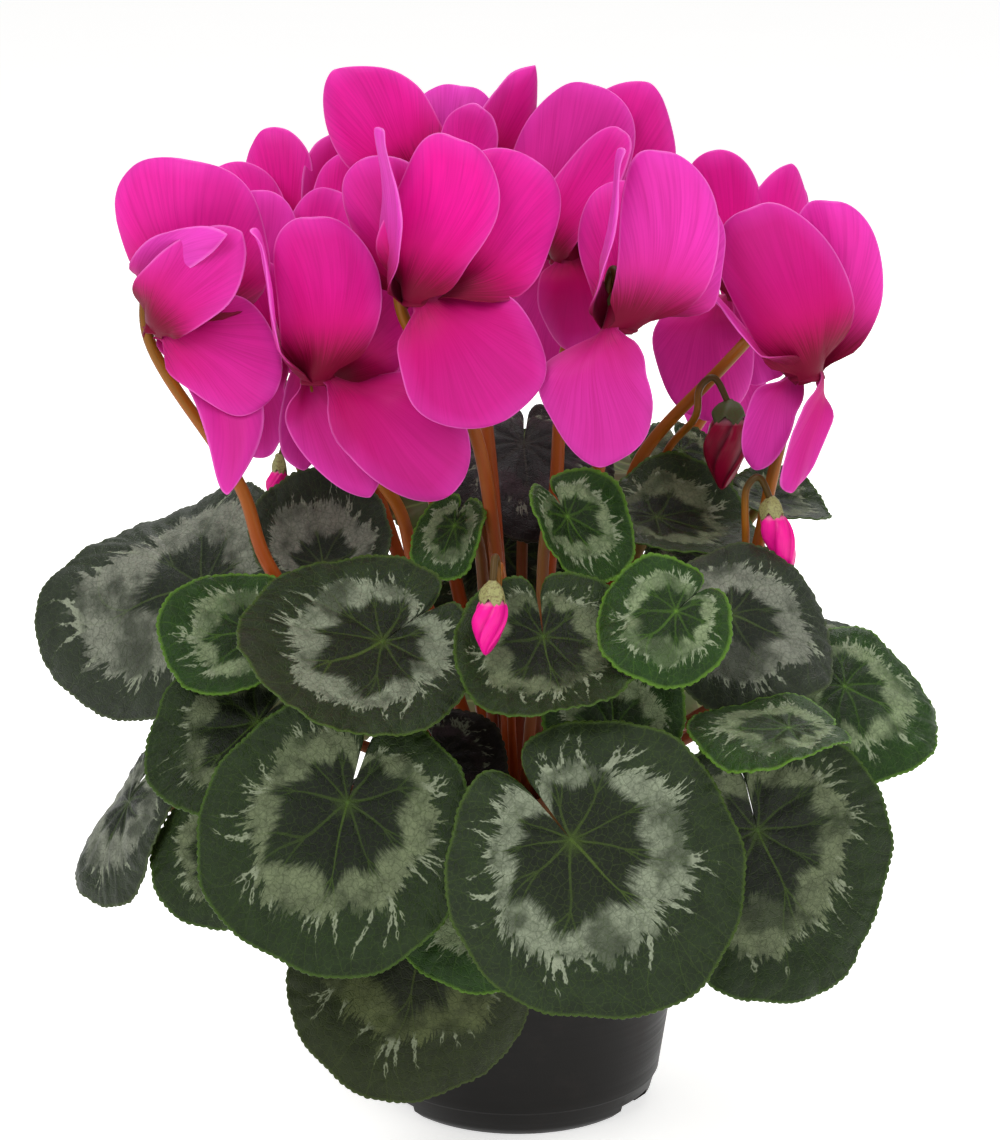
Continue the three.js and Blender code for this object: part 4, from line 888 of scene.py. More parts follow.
def leaf_grid(reach, angles, lift):
    """The flat points of a blade, ring by ring from the junction out, each with its share of the reach and
    its angle, the grid's faces, and its border. The rings get finer towards the rim."""
    flat, share_at, angle_at, rings = [[0.0, 0.0]], [0.0], [0.0], []
    for share, skip, lifted in LEAF_RINGS:
        picked = np.arange(0, len(angles), skip)
        rings.append((len(flat), len(picked)))
        out = share * reach[picked] + lift[picked] * lifted
        flat += np.stack([out * np.sin(angles[picked]), out * np.cos(angles[picked])], 1).tolist()
        share_at += [share] * len(picked)
        angle_at += angles[picked].tolist()
    faces = [(0, rings[0][0] + i, rings[0][0] + i + 1) for i in range(rings[0][1] - 1)]
    for (start_a, count_a), (start_b, count_b) in zip(rings, rings[1:]):
        faces += ring_faces(start_a, start_b, count_a, 1 if count_a == count_b else 2)
    last_start, last_count = rings[-1]
    border = list(range(last_start, last_start + last_count))
    border += [start + count - 1 for start, count in reversed(rings[:-1])] + [0]
    border += [start for start, _ in rings[:-1]]
    # +u is across, and the angles run from -u to +u, so the faces turn round to look up.
    return np.array(flat), np.array(share_at), np.array(angle_at), flipped(faces), border[::-1]


def leaf_mesh(index, leaf, sizes):
    """The blade of a leaf with its faces' materials and its maps."""
    radius = leaf.radius
    rng = np.random.default_rng(LEAF_SEED + index)
    angles, tooth = leaf_outline(radius, leaf.lobes, sizes.tooth_spacing / MM)
    tooth = tooth * np.repeat(rng.uniform(0.55, 1.25, len(angles) // 4 + 1), 4)[: len(angles)]
    sway = np.random.default_rng(SWAY_SEED + index).uniform(0, FULL_TURN, 3)
    reach = leaf_reach(angles, radius, leaf.lobes)
    reach = reach * (1 + 0.016 * np.sin(4 * angles + sway[0]) + 0.012 * np.sin(7 * angles + sway[1])
                     + 0.006 * np.sin(15 * angles + sway[2]))
    flat, share_at, angle_at, faces, border = leaf_grid(reach, angles, tooth * sizes.tooth_height / MM)
    place, first, second = vein_plan(angle_at, share_at, rng)
    width = SECTOR * share_at * np.interp(angle_at, angles, reach)
    aside = np.abs(place - np.round(place))
    near = np.minimum(np.abs(aside - first), np.minimum(np.abs(aside - second) * 1.4, aside)) * width
    groove = np.exp(-((near / VEIN_GROOVE) ** 2)) * (1 - 0.5 * share_at)
    pillow = (1 - np.exp(-((near / VEIN_SHOULDER) ** 2))) * ease(share_at, 0.05, 0.4)
    relief = pillow * sizes.pillow / MM - groove * sizes.vein_depth / MM
    relief += 1.0 * swell(flat, SWELL_SEED + index, radius / 3.5) * share_at * min(1, radius / 30)
    relief += 0.4 * swell(flat, FINE_SWELL_SEED + index, radius / 9) * share_at * min(1, radius / 30)
    # The rim turns down, and one lobe beside the slit rises over the other.
    relief -= 1.1 * ease(share_at, 0.86, 1.0) * radius / 40
    side = 1 if rng.uniform() < 0.5 else -1
    relief += 2.0 * radius / 40 * ease(side * angle_at / math.pi, 0.66, 0.98) * ease(share_at, 0.2, 1.0)
    thickness = np.full(len(flat), sizes.leaf_thickness / MM)
    thickness *= 1 - 0.45 * ease(share_at, 0.93, 1.0)
    points, all_faces = blade_mesh(flat, faces, border, leaf_surface(leaf), thickness, relief)
    top = len(faces)
    kinds = [0] * top + [1] * top + [0] * (len(all_faces) - 2 * top)
    # Where the silver starts and ends here: the heart's points run out along the main veins.
    inner, outer = LEAF_KINDS[leaf.kind][5:]
    a, b = rng.uniform(0, FULL_TURN, 2)
    start = inner - 0.04 + 0.13 * (1 - 2 * aside) ** 2 + 0.05 * np.sin(2 * angle_at + a)
    stop = outer + 0.045 * np.sin(3 * angle_at + b) + 0.03 * np.sin(7 * angle_at + a)
    # Each vein and branch has a spike of its own length, and some have none.
    spike = rng.choice([0.7, 0.76, 0.82, 0.87, 0.92], 64)[(np.floor(4 * place + 0.5) % 64).astype(int)]
    spike = np.maximum(spike, stop - 0.02)
    offset = rng.uniform(0, 500, 3)
    maps = {
        "veins": np.stack([place, first, second], 1),
        "blade": np.stack([share_at, width, np.full(len(flat), offset[2])], 1),
        "band": np.stack([start, stop, spike], 1),
        "flat": np.stack([flat[:, 0] + offset[0], flat[:, 1] + offset[1], share_at * 0], 1),
    }
    return points, all_faces, kinds, doubled(maps)


def petiole_mesh(index, leaf):
    """A leaf's stalk, from the crown to the blade's junction."""
    at = np.array(leaf.at, float)
    normal, tip, _ = leaf_frame(leaf.faces, leaf.turn)
    arrival = unit(normal + tip * 0.3)
    end = at - normal * (LEAF_GAUGE / 2 + PETIOLE["gap"])
    near = end - arrival * PETIOLE["neck"]
    start = crown_point(at, CROWN["leaf"])
    arch = start + (near - start) * 0.55 + [0, 0, PETIOLE["arch"]]
    way = [np.array(p, float) for p in leaf.way] or [arch]
    # The real stem goes on to the blade.
    joined = at - normal * 0.2
    radii = (PETIOLE["radius"] * 1.15, PETIOLE["radius"])
    return tube_mesh([start, *way, near, end, joined], radii, PETIOLE["sides"], seed=2.4 * index)


# ---------------------------------------------------------------- blooms


def petal_surface(bloom, index):
    """The middle surface of a petal from its root on the mouth's rim, with its length and width."""
    petal = bloom.petals[index]
    mouth, width = np.array(bloom.mouth, float), petal.width
    outward = direction(bloom.first + 360 * index / len(bloom.petals), 0)
    root = mouth + outward * PETAL["root"]
    along = np.array([petal.x, petal.y, petal.z], float) + mouth - root
    length = np.linalg.norm(along)
    along = along / length
    across = unit(np.cross(along, direction(petal.azimuth, 0)))
    root_across = unit(np.cross(along, outward))
    if np.dot(root_across, across) < 0:
        root_across = -root_across
    cupping, bending = petal.cup * DEGREE / (width / 2), petal.bend * DEGREE / length
    bow = PETAL["bow"] / PETAL["bow_peak"] * (1 if width > NARROW_PETAL else 0.5)

    def surface(u, v):
        right, lift_across = bent_by(u, cupping)
        far, lift_along = bent_by(v, bending)
        share = v / length
        twisted = ease(share, 0, PETAL["twist_end"])
        swept = 4 * petal.sweep * share * (1 - share)
        # Near its root a petal bows outward and wraps the mouth's rim.
        bowed = bow * share * (1 - share) ** 3 - np.clip(u * u / (2.2 * PETAL["root"]), 0, 3) * (1 - twisted)
        side = unit(root_across * (1 - twisted[:, None]) + across * twisted[:, None])
        normal = np.cross(side, along)
        return (root + side * (right + swept)[:, None] + np.outer(far, along)
                + normal * (lift_across + lift_along)[:, None] + np.outer(bowed, outward))

    return surface, length, width


def petal_grid(rows, length, width, skew, phase):
    """The flat points of a petal, row by row from its root, each with its share of the way across, the
    grid's faces, and its border. Rows are pairs of half a width and a height."""
    flat, shares = [], []
    for half, height in rows:
        lean = half * 0.05 * math.sin(height * 6 / length + phase)
        lean += skew * width / 2 * max(0, height / length) ** 2 * SKEW_AT_TIP
        for k in range(PETAL_COLUMNS + 1):
            share = math.sin((k / PETAL_COLUMNS - 0.5) * math.pi)
            flat.append((half * share + lean, height))
            shares.append(share)
    count = PETAL_COLUMNS + 1
    faces = []
    for i in range(len(rows) - 1):
        for a in range(i * count, i * count + PETAL_COLUMNS):
            faces.append((a, a + 1, a + 1 + count, a + count))
    last = (len(rows) - 1) * count
    border = list(range(count)) + [(i + 1) * count - 1 for i in range(1, len(rows) - 1)]
    border += list(range(last + count - 1, last - 1, -1)) + [i * count for i in range(len(rows) - 2, 0, -1)]
    return np.array(flat), np.array(shares), faces, border


def petal_mesh(number, index, sizes):
    """A petal of the bloom with that number, with its faces' materials and its maps."""
    bloom, seed = BLOOMS[number - 1], 10 * (number - 1) + index
    surface, length, width = petal_surface(bloom, index)
    rng = np.random.default_rng(seed)
    # A petal that hangs is widest nearer its root, and more pointed.
    hangs = bloom.petals[index].z < 0
    point, skew = PETAL_SHAPES.get((number, index), (0.1 * hangs, 0.0))
    point, skew = point + rng.uniform(-0.05, 0.1), skew + rng.uniform(-0.08, 0.08)
    middle = length * (PETAL["widest"] + rng.uniform(-0.03, 0.03) - 0.07 * hangs - 0.06 * max(0, point))
    low, high = middle + PETAL["depth"], length - middle
    wobble = rng.uniform(0, FULL_TURN, 5)
    rows = []
    for turn in PETAL_ROWS:
        sine, cosine = math.sin(turn * DEGREE), math.cos(turn * DEGREE)
        round_ = cosine**0.95 * ease((sine + 1) / 0.3) if sine < 0 else cosine ** (0.84 + point)
        half = math.hypot(width / 2 * round_, PETAL_CLAW * (1 - (sine + 1) / 2) ** 1.5)
        rows.append((half, middle + (low if sine < 0 else high) * sine))
    flat, shares, faces, border = petal_grid(rows, length, width, skew, wobble[4])
    u, v = flat[:, 0], flat[:, 1] + PETAL["depth"]
    rise = v / (length + PETAL["depth"])
    angle = np.arctan2(u, v + 2)
    # How far inside the rim, in millimetres, taken across and towards the tip.
    half_at = np.interp(flat[:, 1], [r[1] for r in rows], [r[0] for r in rows])
    inside = np.minimum(half_at * (1 - np.abs(shares)), (length - flat[:, 1]) * 0.9)
    aside = 2 * u / width
    ruffle = sizes.petal_ruffle / MM * (
        np.sin(7 * angle + 5 * aside * rise + wobble[0]) + 0.6 * np.sin(13 * angle + wobble[1]))
    near_rim = np.exp(-inside / (width * 0.16)) * ease(rise, 0.3, 0.75)
    veins = 0.05 * np.sin(angle * 60 + 2 * np.sin(angle * 17 + wobble[2])) * ease(rise, 0.1, 0.5)
    veins += 0.1 * np.sin(angle * 19 + wobble[3]) * ease(rise, 0.05, 0.4)
    relief = ruffle * near_rim + veins
    relief += 0.8 * swell(flat, seed + 50, length / 4) * ease(rise, 0.15, 0.6)
    relief -= 1.4 * np.exp(-inside / 1.6) * ease(rise, 0.35, 0.7)
    thickness = sizes.petal_thickness / MM * (0.55 + 0.45 * ease(inside, 0, 3)) * (1.25 - 0.25 * rise)
    points, all_faces = blade_mesh(flat, faces, border, surface, thickness, relief)
    top = len(faces)
    kinds = [0] * top + [1] * (len(all_faces) - top)
    # Painted shade: the share by which a petal's face darkens, highest on petals that hang, partly the
    # petal's own tone.
    tone_and_shade, lilac = PETAL_PAINTED_SHADE_AND_LILAC.get((number, index), (0.8, 0.2) if hangs else (0.2, 0.12))
    tone_and_shade, lilac = np.clip([tone_and_shade + rng.uniform(-0.08, 0.08), lilac + rng.uniform(-0.06, 0.06)], 0, 1)
    blank = np.zeros(len(flat))
    # The dark eye is short on a petal that hangs.
    drawn = rise + (0.22 * (1 - rise) if hangs else 0)
    maps = {
        "fan": np.stack([angle, drawn, blank + seed * 3.7], 1),
        "rim": np.stack([inside, blank + tone_and_shade, blank + lilac], 1),
    }
    return points, all_faces, kinds, doubled(maps)


def mouth_mesh(mouth):
    """The flower's tube with a rounded, five-sided rim and a hollow throat that opens downwards."""
    tube, depth, sides = MOUTH["tube"], MOUTH["depth"], MOUTH["sides"]
    profile = [(tube * 0.5, depth), (tube * 0.95, depth - 0.2), (tube, depth - 1.2), (4.1, 3.6), (4.9, 1),
               (5.5, -0.8), (5.6, -1.3), (5.3, -1.6), (4.7, -1.3), (4.2, 0.2), (3.6, 2.4), (2.6, 4.6),
               (1.2, 5.4), (0.35, 3.4), (0.3, -0.6)]
    points = turned_rings(profile, sides)
    points[:, :2] *= (1 + 0.05 * np.cos(5 * np.arctan2(points[:, 1], points[:, 0])))[:, None]
    return points + mouth, flipped(lathe_faces(len(profile), sides))


def hook_points(mouth, azimuth, reach, low, top, end):
    """The last points of a stalk that rises beside its flower or bud, arches over and comes down on it."""
    side, up = direction(azimuth, 0), np.array([0, 0, 1.0])
    return [mouth + side * reach + up * low, mouth + side * reach * 0.95 + up * top * 0.7,
            mouth + side * reach * 0.5 + up * top, mouth + up * end]


def stalk_mesh(index, bloom):
    """A bloom's stalk, from the crown up and over into its calyx."""
    way = [np.array(p, float) for p in bloom.way]
    end = MOUTH["depth"] + CALYX["height"] - 1
    reach, low, rise = (STALK[key] for key in ("reach", "low", "rise"))
    hook = hook_points(np.array(bloom.mouth, float), bloom.beside, reach, low, rise, end)
    points = [crown_point(way[0], CROWN["stalk"]), *way, *hook]
    return tube_mesh(points, (STALK["radius"], STALK["tip"]), STALK["sides"], seed=2.4 * index)


def calyx_mesh(top, radius, height, stem, droop=0.0):
    """Five pointed sepals that clasp the top of a flower or bud, grown together into a cup above."""
    sides = CALYX["sides"]
    profile = [(stem * 0.95, height), (stem * 1.25, height - 0.4), (radius * 0.62, height * 0.72),
               (radius * 0.84, height * 0.48), (radius * 0.97, height * 0.22), (radius * 1.03, 0.0)]
    last = len(profile) - 1
    rows = [(i, False) for i in range(last + 1)] + [(i, True) for i in range(last, 0, -1)]
    rings = []
    for i, inner in rows:
        across, up = profile[i]
        for k in range(sides):
            angle = 2 * math.pi * k / sides
            point = abs((5 * k / sides) % 1 - 0.5) * 2  # 1 at the sepal's middle
            reach = ease(i, 2, last) * (point * (height * 0.5 + droop) - height * 0.12)
            out = max(0.3, across - 0.35) if inner else across * (1 + 0.06 * (1 - point))
            rings.append((out * math.cos(angle), out * math.sin(angle), up - reach - 0.1 * inner))
    return np.array(rings) + top, flipped(lathe_faces(len(rows), sides))


# ---------------------------------------------------------------- buds


def bud_mesh(bud, seed):
    """Five petals furled round each other, so the cross-section is a wheel of overlapping folds that twists
    towards the pointed tip."""
    shape = [(0, 0.55), (0.06, 0.74), (0.15, 0.9), (0.28, 0.99), (0.4, 1), (0.55, 0.9), (0.7, 0.72),
             (0.82, 0.5), (0.92, 0.3), (0.97, 0.17), (1, 0.04)]
    steps, sides = 30, 50
    rings, maps = [], []
    for share in np.linspace(0, 1, steps) ** 0.9:
        width = np.interp(share, *zip(*shape))
        for k in range(sides):
            fold = (5 * k / sides) % 1
            # Each fold rises slowly and drops sharply at the next petal's edge.
            ridge = (fold**1.3 * 0.2 - 0.1) * min(1, share * 6)
            across = bud.radius * width * (1 + ridge)
            turn = -2 * math.pi * k / sides - share * 1.6
            rings.append((bud.lean[0] * share + across * math.cos(turn),
                          bud.lean[1] * share + across * math.sin(turn), -bud.length * share))
            maps.append((share, fold, seed))
    return np.array(rings) + bud.top, lathe_faces(steps, sides), np.array(maps)


def bud_stalk_mesh(index, bud):
    """A bud's stalk, from the crown up and over into its calyx."""
    way = [np.array(p, float) for p in bud.way]
    reach, rise = bud.radius + BUD["gap"], BUD["rise"] + bud.radius / 2
    hook = hook_points(np.array(bud.top, float), bud.beside, reach, 0, rise, BUD["calyx_height"] - 2)
    points = [crown_point(way[0], CROWN["stalk"]), *way, *hook]
    return tube_mesh(points, (BUD["stalk"], BUD["tip"]), BUD["sides"], seed=2.4 * index)


# ---------------------------------------------------------------- pot, soil and tuber


def pot_profile():
    """The pot's section, from the middle of its floor up the inside, over the rim and down to its boss."""
    height, rim, band, wall, foot = (POT[k] for k in ("height", "rim", "band", "wall", "foot"))
    taper, foot_height, floor = POT["taper"], POT["foot_height"], POT["floor"]
    top, shoulder = height - band, rim - 2
    return [
        (0.01, floor), (foot - wall - 2, floor), (foot + 0.1 - wall, floor + 0.6),
        (foot + 0.4 - wall, floor + 3), (shoulder - wall - 0.1, top - 1.6),
        (shoulder - wall + 0.5, top - 0.6), (rim - 1.1 - wall, top + 0.4),
        (rim - 0.9 - wall, height - 0.5), (rim - 0.75 - wall, height - 0.12), (rim - 0.4 - wall, height),
        (rim - 0.6, height), (rim - 0.18, height - 0.18), (rim, height - 0.6), (rim, top + 0.7),
        (rim - 0.15, top + 0.2), (rim - 0.6, top - 0.05), (shoulder + 0.35, top - 0.25),
        (shoulder, top - 0.7),
        (shoulder - 1.4, top - 12), (shoulder - 4.1, top - 38), (foot + 1.55, foot_height + 3),
        (foot + 1.2, foot_height + 0.6), (foot + 1.0, foot_height + 0.25), (foot + 0.5, foot_height),
        (foot + 0.3, foot_height - 0.4), (foot - taper * 0.5, 3), (foot - 2 * taper + 0.5, 0.3),
        (foot - 2 * taper, 0), (foot - 2 * taper - wall, 0), (foot - taper - wall, 1.5),
        (foot - taper - wall, floor - wall - 0.4), (foot - taper - wall - 0.4, floor - wall),
        (POT["boss"] + 1, floor - wall), (POT["boss"] + 0.6, floor - wall - 0.4), (POT["boss"], 0), (0.01, 0),
    ]


def notch_cutter(azimuth):
    """The block that one notch of the pot's foot is cut with."""
    near, far = POT["foot"] - NOTCH["inside"], POT["foot"] + NOTCH["outside"]
    low_top = POT["floor"] - POT["wall"] - 0.2
    corners = []
    for level in (0, 1):
        for reach, side in ((near, -1), (far, -1), (far, 1), (near, 1)):
            at = direction(azimuth + side * NOTCH["half"], 0) * reach
            at[2] = -1 if not level else (low_top if reach == near else NOTCH["height"])
            corners.append(at)
    mesh = bpy.data.meshes.new("notch")
    mesh.from_pydata((np.array(corners) * MM).tolist(), [],
                     [(3, 2, 1, 0), (4, 5, 6, 7), (0, 1, 5, 4), (1, 2, 6, 5), (2, 3, 7, 6), (3, 0, 4, 7)])
    cutter = bpy.data.objects.new("notch", mesh)
    bpy.context.scene.collection.objects.link(cutter)
    return cutter


def carve(piece, cutters):
    """Cuts solids out of a piece for good."""
    for cutter in cutters:
        cut = piece.modifiers.new("cut", "BOOLEAN")
        cut.object, cut.operation, cut.solver = cutter, "DIFFERENCE", "EXACT"
        shaped = bpy.data.meshes.new_from_object(piece.evaluated_get(bpy.context.evaluated_depsgraph_get()))
        piece.modifiers.clear()
        piece.data = shaped
        bpy.data.objects.remove(cutter)
    piece.data.name = piece.name


def peat_level(reach):
    """The height of the peat at a distance from the pot's middle: it rises towards the tuber."""
    return SOIL["level"] + SOIL["crown"] * min(1, (SOIL["reach"] - reach) / SOIL["slope"]) ** 0.8


def peat_mesh(rng):
    """The bed of peat that fills the pot round the tuber, lumpy on top."""
    inside = SOIL["reach"]
    profile = [(0.01, 5.3), (42, 5.3), (44.2, 8.3), (inside - 0.4, SOIL["level"] - 2)]
    profile += [(r, peat_level(r)) for r in np.linspace(inside, 21.2, 46)]
    profile += [(20.6, 93.5), (20.2, 88), (19, 80), (0.01, 78)]
    points = turned_rings(profile, SOIL_SIDES)
    top = (points[:, 2] > SOIL["level"] - 0.01) & (np.hypot(points[:, 0], points[:, 1]) > 21)
    lumps = 0
    for scale, height in ((9, 0.7), (3.4, 0.7), (1.6, 0.5)):
        wave = swell(points[:, :2] + rng.normal(size=2), 31 + int(scale * 10), scale / 3)
        lumps = lumps + height * np.abs(wave)
    points[:, 2] += np.where(top, lumps * 0.9 - 0.9 + rng.uniform(-0.25, 0.25, len(points)), 0)
    return points, lathe_faces(len(profile), SOIL_SIDES)


def crumb_mesh(rng, size):
    """An uneven crumb, flatter than it is wide."""
    rows, sides = 5, 7
    points = []
    stretch = rng.uniform(0.5, 1.2, 3)
    for i in range(rows):
        tilt = math.pi * (i + 0.35) / (rows - 0.3)
        for k in range(sides):
            angle = 2 * math.pi * k / sides
            r = size * rng.uniform(0.75, 1.1)
            points.append((r * math.sin(tilt) * math.cos(angle) * stretch[0],
                           r * math.sin(tilt) * math.sin(angle) * stretch[1],
                           r * math.cos(tilt) * stretch[2] * 0.8))
    return np.array(points), flipped(lathe_faces(rows, sides))


def tuber_mesh():
    """The tuber: a flattened ball with a knobbly skin."""
    rows, sides = 40, 72
    tilts = [math.pi * (i + 0.5) / rows - math.pi / 2 for i in range(rows)]
    points = turned_rings([(TUBER["radius"] * math.cos(tilt),
                            TUBER["middle"] + TUBER["height"] / 2 * math.sin(tilt)) for tilt in tilts], sides)
    knob = swell(points[:, [0, 2]], 71, 3.0) * 0.35 + swell(points[:, [1, 2]], 72, 1.6) * 0.2 - 0.35
    return points + unit(points - [0, 0, TUBER["middle"]]) * knob[:, None], lathe_faces(rows, sides)


# ---------------------------------------------------------------- operators


class CYCLAMEN_OT_stage(bpy.types.Operator):
    """Pale paper, soft lights and the camera"""

    bl_idname = "cyclamen.stage"
    bl_label = "Stage"

    def execute(self, context):
        colours = context.scene.cyclamen_colours
        turns = np.linspace(0, 2 * math.pi, FLOOR_SIDES + 1)[:-1]
        rim = [(FLOOR_RADIUS * math.cos(turn), FLOOR_RADIUS * math.sin(turn), 0) for turn in turns]
        mesh = bpy.data.meshes.new("paper_floor")
        mesh.from_pydata(rim, [], [tuple(range(FLOOR_SIDES))])
        mesh.materials.append(paper_finish(colours))
        floor = bpy.data.objects.new("paper_floor", mesh)
        context.scene.collection.objects.link(floor)
        for name, (place, size, power) in SOFTBOXES.items():
            lamp = bpy.data.lights.new(name, "AREA")
            lamp.shape, lamp.size, lamp.energy = "SQUARE", size, power
            placed = bpy.data.objects.new(name, lamp)
            placed.location = place
            placed.rotation_euler = (LIT_POINT - Vector(place)).to_track_quat("-Z", "Y").to_euler()
            context.scene.collection.objects.link(placed)
        world = bpy.data.worlds.new("studio")
        world.use_nodes = True
        sky = world.node_tree.nodes["Background"].inputs
        sky["Color"].default_value, sky["Strength"].default_value = (1, 1, 1, 1), SKY_GLOW
        context.scene.world = world
        context.scene.view_settings.view_transform = "Standard"
        lens = bpy.data.cameras.new("camera")
        lens.lens, lens.sensor_width = CAMERA["lens"], CAMERA["sensor"]
        camera = bpy.data.objects.new("camera", lens)
        elevation = CAMERA["elevation"] * DEGREE
        away = Vector((0, -math.cos(elevation), math.sin(elevation)))
        camera.location = CAMERA["target"] + away * CAMERA["distance"]
        camera.rotation_euler = (-away).to_track_quat("-Z", "Y").to_euler()
        context.scene.collection.objects.link(camera)
        context.scene.camera = camera
        return {"FINISHED"}


class CYCLAMEN_OT_pot(bpy.types.Operator):
    """The black nursery pot with its three foot notches"""

    bl_idname = "cyclamen.pot"
    bl_label = "Pot"

    def execute(self, context):
        profile = pot_profile()
        points, faces = turned_rings(profile, POT_SIDES), flipped(lathe_faces(len(profile), POT_SIDES))
        plastic = pot_plastic(context.scene.cyclamen_colours)
        piece = make_piece("nursery_pot", points, faces, [plastic], slot="pot", replaced=("pot",))
        carve(piece, [notch_cutter(azimuth) for azimuth in NOTCH["angles"]])
        return {"FINISHED"}


class CYCLAMEN_OT_soil(bpy.types.Operator):
    """Crumbly peat round the tuber"""

    bl_idname = "cyclamen.soil"
    bl_label = "Soil"

    def execute(self, context):
        sizes = context.scene.cyclamen_sizes
        peat = peat_finish(context.scene.cyclamen_colours)
        rng = np.random.default_rng(SOIL_SEED)
        make_piece("peat_bed", *peat_mesh(rng), [peat], slot="soil", replaced=("soil",))
        crumbs = Builder()
        for _ in range(CRUMBS):
            angle = rng.uniform(0, FULL_TURN)
            reach = math.sqrt(rng.uniform(26**2, (SOIL["reach"] - 3) ** 2))
            size = sizes.crumb / MM * rng.uniform(0.4, 1.0)
            centre = (reach * math.cos(angle), reach * math.sin(angle), peat_level(reach) + size * 0.15)
            lump, faces = crumb_mesh(rng, size)
            crumbs.add(lump + centre, faces, 0)
        crumbs.piece("peat_crumbs", [peat], "soil", ("soil",))
        return {"FINISHED"}


class CYCLAMEN_OT_tuber_and_stems(bpy.types.Operator):
    """The corky tuber, the leaf stalks, the hooked flower stalks and the sepals"""

    bl_idname = "cyclamen.tuber_and_stems"
    bl_label = "Tuber and stems"

    def execute(self, context):
        colours = context.scene.cyclamen_colours
        replaced = ("tuber_with_stems",)
        make_piece("corky_tuber", *tuber_mesh(), [cork_skin(colours)], slot="stem", replaced=replaced)
        petioles, stalks, sepals = Builder(), Builder(), Builder()
        for index, leaf in enumerate(LEAVES):
            points, faces, stem = petiole_mesh(index, leaf)
            petioles.add(points, faces, 0, {"stem": stem})
        for index, bloom in enumerate(BLOOMS):
            points, faces, stem = stalk_mesh(index, bloom)
            stalks.add(points, faces, 0, {"stem": stem})
            top = np.array(bloom.mouth) + [0, 0, MOUTH["depth"] + CLEARANCE]
            sepals.add(*calyx_mesh(top, CALYX["radius"], CALYX["height"], STALK["tip"]), 0)
        for index, bud in enumerate(BUDS):
            points, faces, stem = bud_stalk_mesh(index, bud)
            stalks.add(points, faces, 0, {"stem": stem})
            top = np.array(bud.top) + [0, 0, CLEARANCE]
            radius, height = bud.radius * BUD["calyx_width"], BUD["calyx_height"]
            sepals.add(*calyx_mesh(top, radius, height, BUD["tip"], droop=1.0), 0 if bud.dark else 1)
        skin = stem_skin("smooth_petiole_skin", linear("#74301A"), linear("#6E4A20"), colours.petiole, 0.5)
        petioles.piece("leaf_stalks", [skin], "stem", replaced)
        skin = stem_skin("smooth_flower_stalk_skin", colours.stalk_low, colours.stalk_middle,
                         colours.stalk_high, 0.35)
        stalks.piece("flower_stalks", [skin], "stem", replaced)
        green = sepal_skin("matt_sepal_skin", colours.calyx, linear("#4A2E1A"))
        young = sepal_skin("matt_young_sepal_skin", colours.young_calyx, linear("#5A4426"))
        sepals.piece("sepals", [green, young], "bud", replaced)
        return {"FINISHED"}


class CYCLAMEN_OT_leaves(bpy.types.Operator):
    """Round, toothed leaves with a silver band"""

    bl_idname = "cyclamen.leaves"
    bl_label = "Leaves"

    def execute(self, context):
        sizes = context.scene.cyclamen_sizes
        skins = {kind: leaf_skin(kind) for kind in LEAF_KINDS}
        under = leaf_underskin(context.scene.cyclamen_colours)
        for index, leaf in enumerate(LEAVES):
            points, faces, kinds, maps = leaf_mesh(index, leaf, sizes)
            make_piece(f"leaf_blade_{index + 1:02d}", points, faces, [skins[leaf.kind], under], kinds, maps,
                       "leaf", (f"leaf_{index + 1:02d}",))
        return {"FINISHED"}


class CYCLAMEN_OT_blooms(bpy.types.Operator):
    """Nodding blooms with swept-back petals"""

    bl_idname = "cyclamen.blooms"
    bl_label = "Blooms"

    def execute(self, context):
        colours = context.scene.cyclamen_colours
        sizes = context.scene.cyclamen_sizes
        skins = [petal_skin(colours, False), petal_skin(colours, True)]
        for number, bloom in enumerate(BLOOMS, 1):
            flower = Builder()
            points, faces = mouth_mesh(bloom.mouth)
            blank = np.zeros((len(points), 3))
            flower.add(points, faces, 0, {"fan": blank, "rim": blank + 5})
            for index in range(len(bloom.petals)):
                flower.add(*petal_mesh(number, index, sizes))
            flower.piece(f"open_bloom_{number:02d}", skins, "petal", (f"bloom_{number:02d}",))
        return {"FINISHED"}


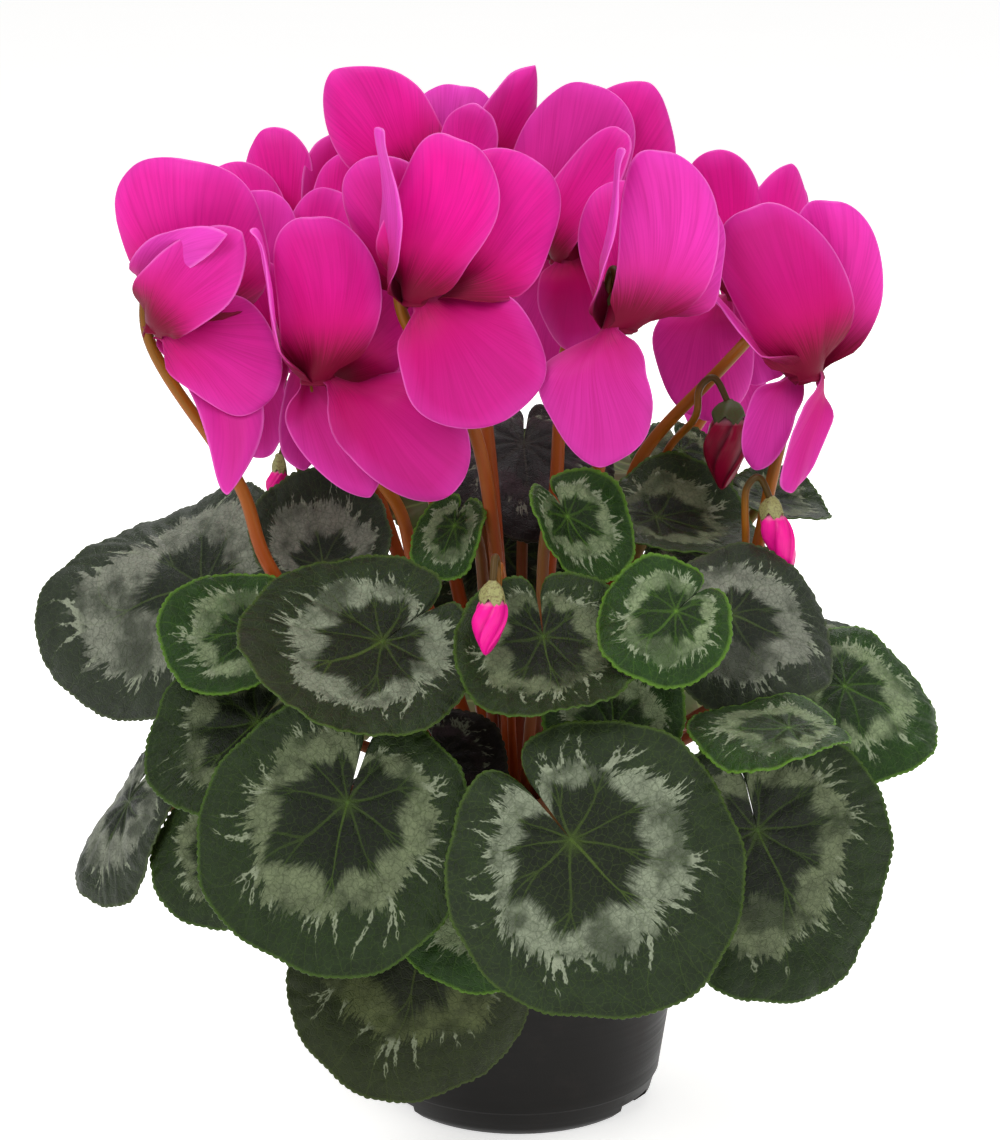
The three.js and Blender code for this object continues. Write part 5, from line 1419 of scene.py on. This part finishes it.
class CYCLAMEN_OT_buds(bpy.types.Operator):
    """Furled buds"""

    bl_idname = "cyclamen.buds"
    bl_label = "Buds"

    def execute(self, context):
        colours = context.scene.cyclamen_colours
        # The second colour of each bud darkens its streaks and paints the shade in its creases.
        ripe = bud_skin("glossy_ripe_bud", colours.bud, colours.petal_tone_and_shade)
        dark = bud_skin("glossy_dark_bud", colours.bud_dark, linear("#4A0218"))
        for index, bud in enumerate(BUDS):
            points, faces, stem = bud_mesh(bud, 40 + index)
            make_piece(f"furled_bud_{index + 1}", points, faces, [dark if bud.dark else ripe], None,
                       {"stem": stem}, "bud", (f"bud_{index + 1:02d}",))
        return {"FINISHED"}


OPERATORS = (
    CYCLAMEN_OT_stage, CYCLAMEN_OT_pot, CYCLAMEN_OT_soil, CYCLAMEN_OT_tuber_and_stems, CYCLAMEN_OT_leaves,
    CYCLAMEN_OT_blooms, CYCLAMEN_OT_buds,
)


class CYCLAMEN_PT_panel(bpy.types.Panel):
    """Lists the plant's parts and settings"""

    bl_idname = "CYCLAMEN_PT_panel"
    bl_label = "Potted Cyclamen"
    bl_space_type = "VIEW_3D"
    bl_region_type = "UI"
    bl_category = "Cyclamen"

    def draw(self, context):
        for operator in OPERATORS:
            self.layout.operator(operator.bl_idname)
        for group in (context.scene.cyclamen_sizes, context.scene.cyclamen_colours):
            box = self.layout.box()
            for key in group.__annotations__:
                box.prop(group, key)


CLASSES = (CyclamenSizes, CyclamenColours, *OPERATORS, CYCLAMEN_PT_panel)


def register():
    """Registers the classes and the scene's settings."""
    for cls in CLASSES:
        bpy.utils.register_class(cls)
    bpy.types.Scene.cyclamen_sizes = bpy.props.PointerProperty(type=CyclamenSizes)
    bpy.types.Scene.cyclamen_colours = bpy.props.PointerProperty(type=CyclamenColours)


def unregister():
    """Takes the settings and the classes away again."""
    del bpy.types.Scene.cyclamen_colours
    del bpy.types.Scene.cyclamen_sizes
    for cls in reversed(CLASSES):
        bpy.utils.unregister_class(cls)


def main():
    """Builds the plant and its stage."""
    register()
    bpy.ops.cyclamen.stage()
    bpy.ops.cyclamen.pot()
    bpy.ops.cyclamen.soil()
    bpy.ops.cyclamen.tuber_and_stems()
    bpy.ops.cyclamen.leaves()
    bpy.ops.cyclamen.blooms()
    bpy.ops.cyclamen.buds()
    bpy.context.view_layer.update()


if __name__ == "__main__":
    main()
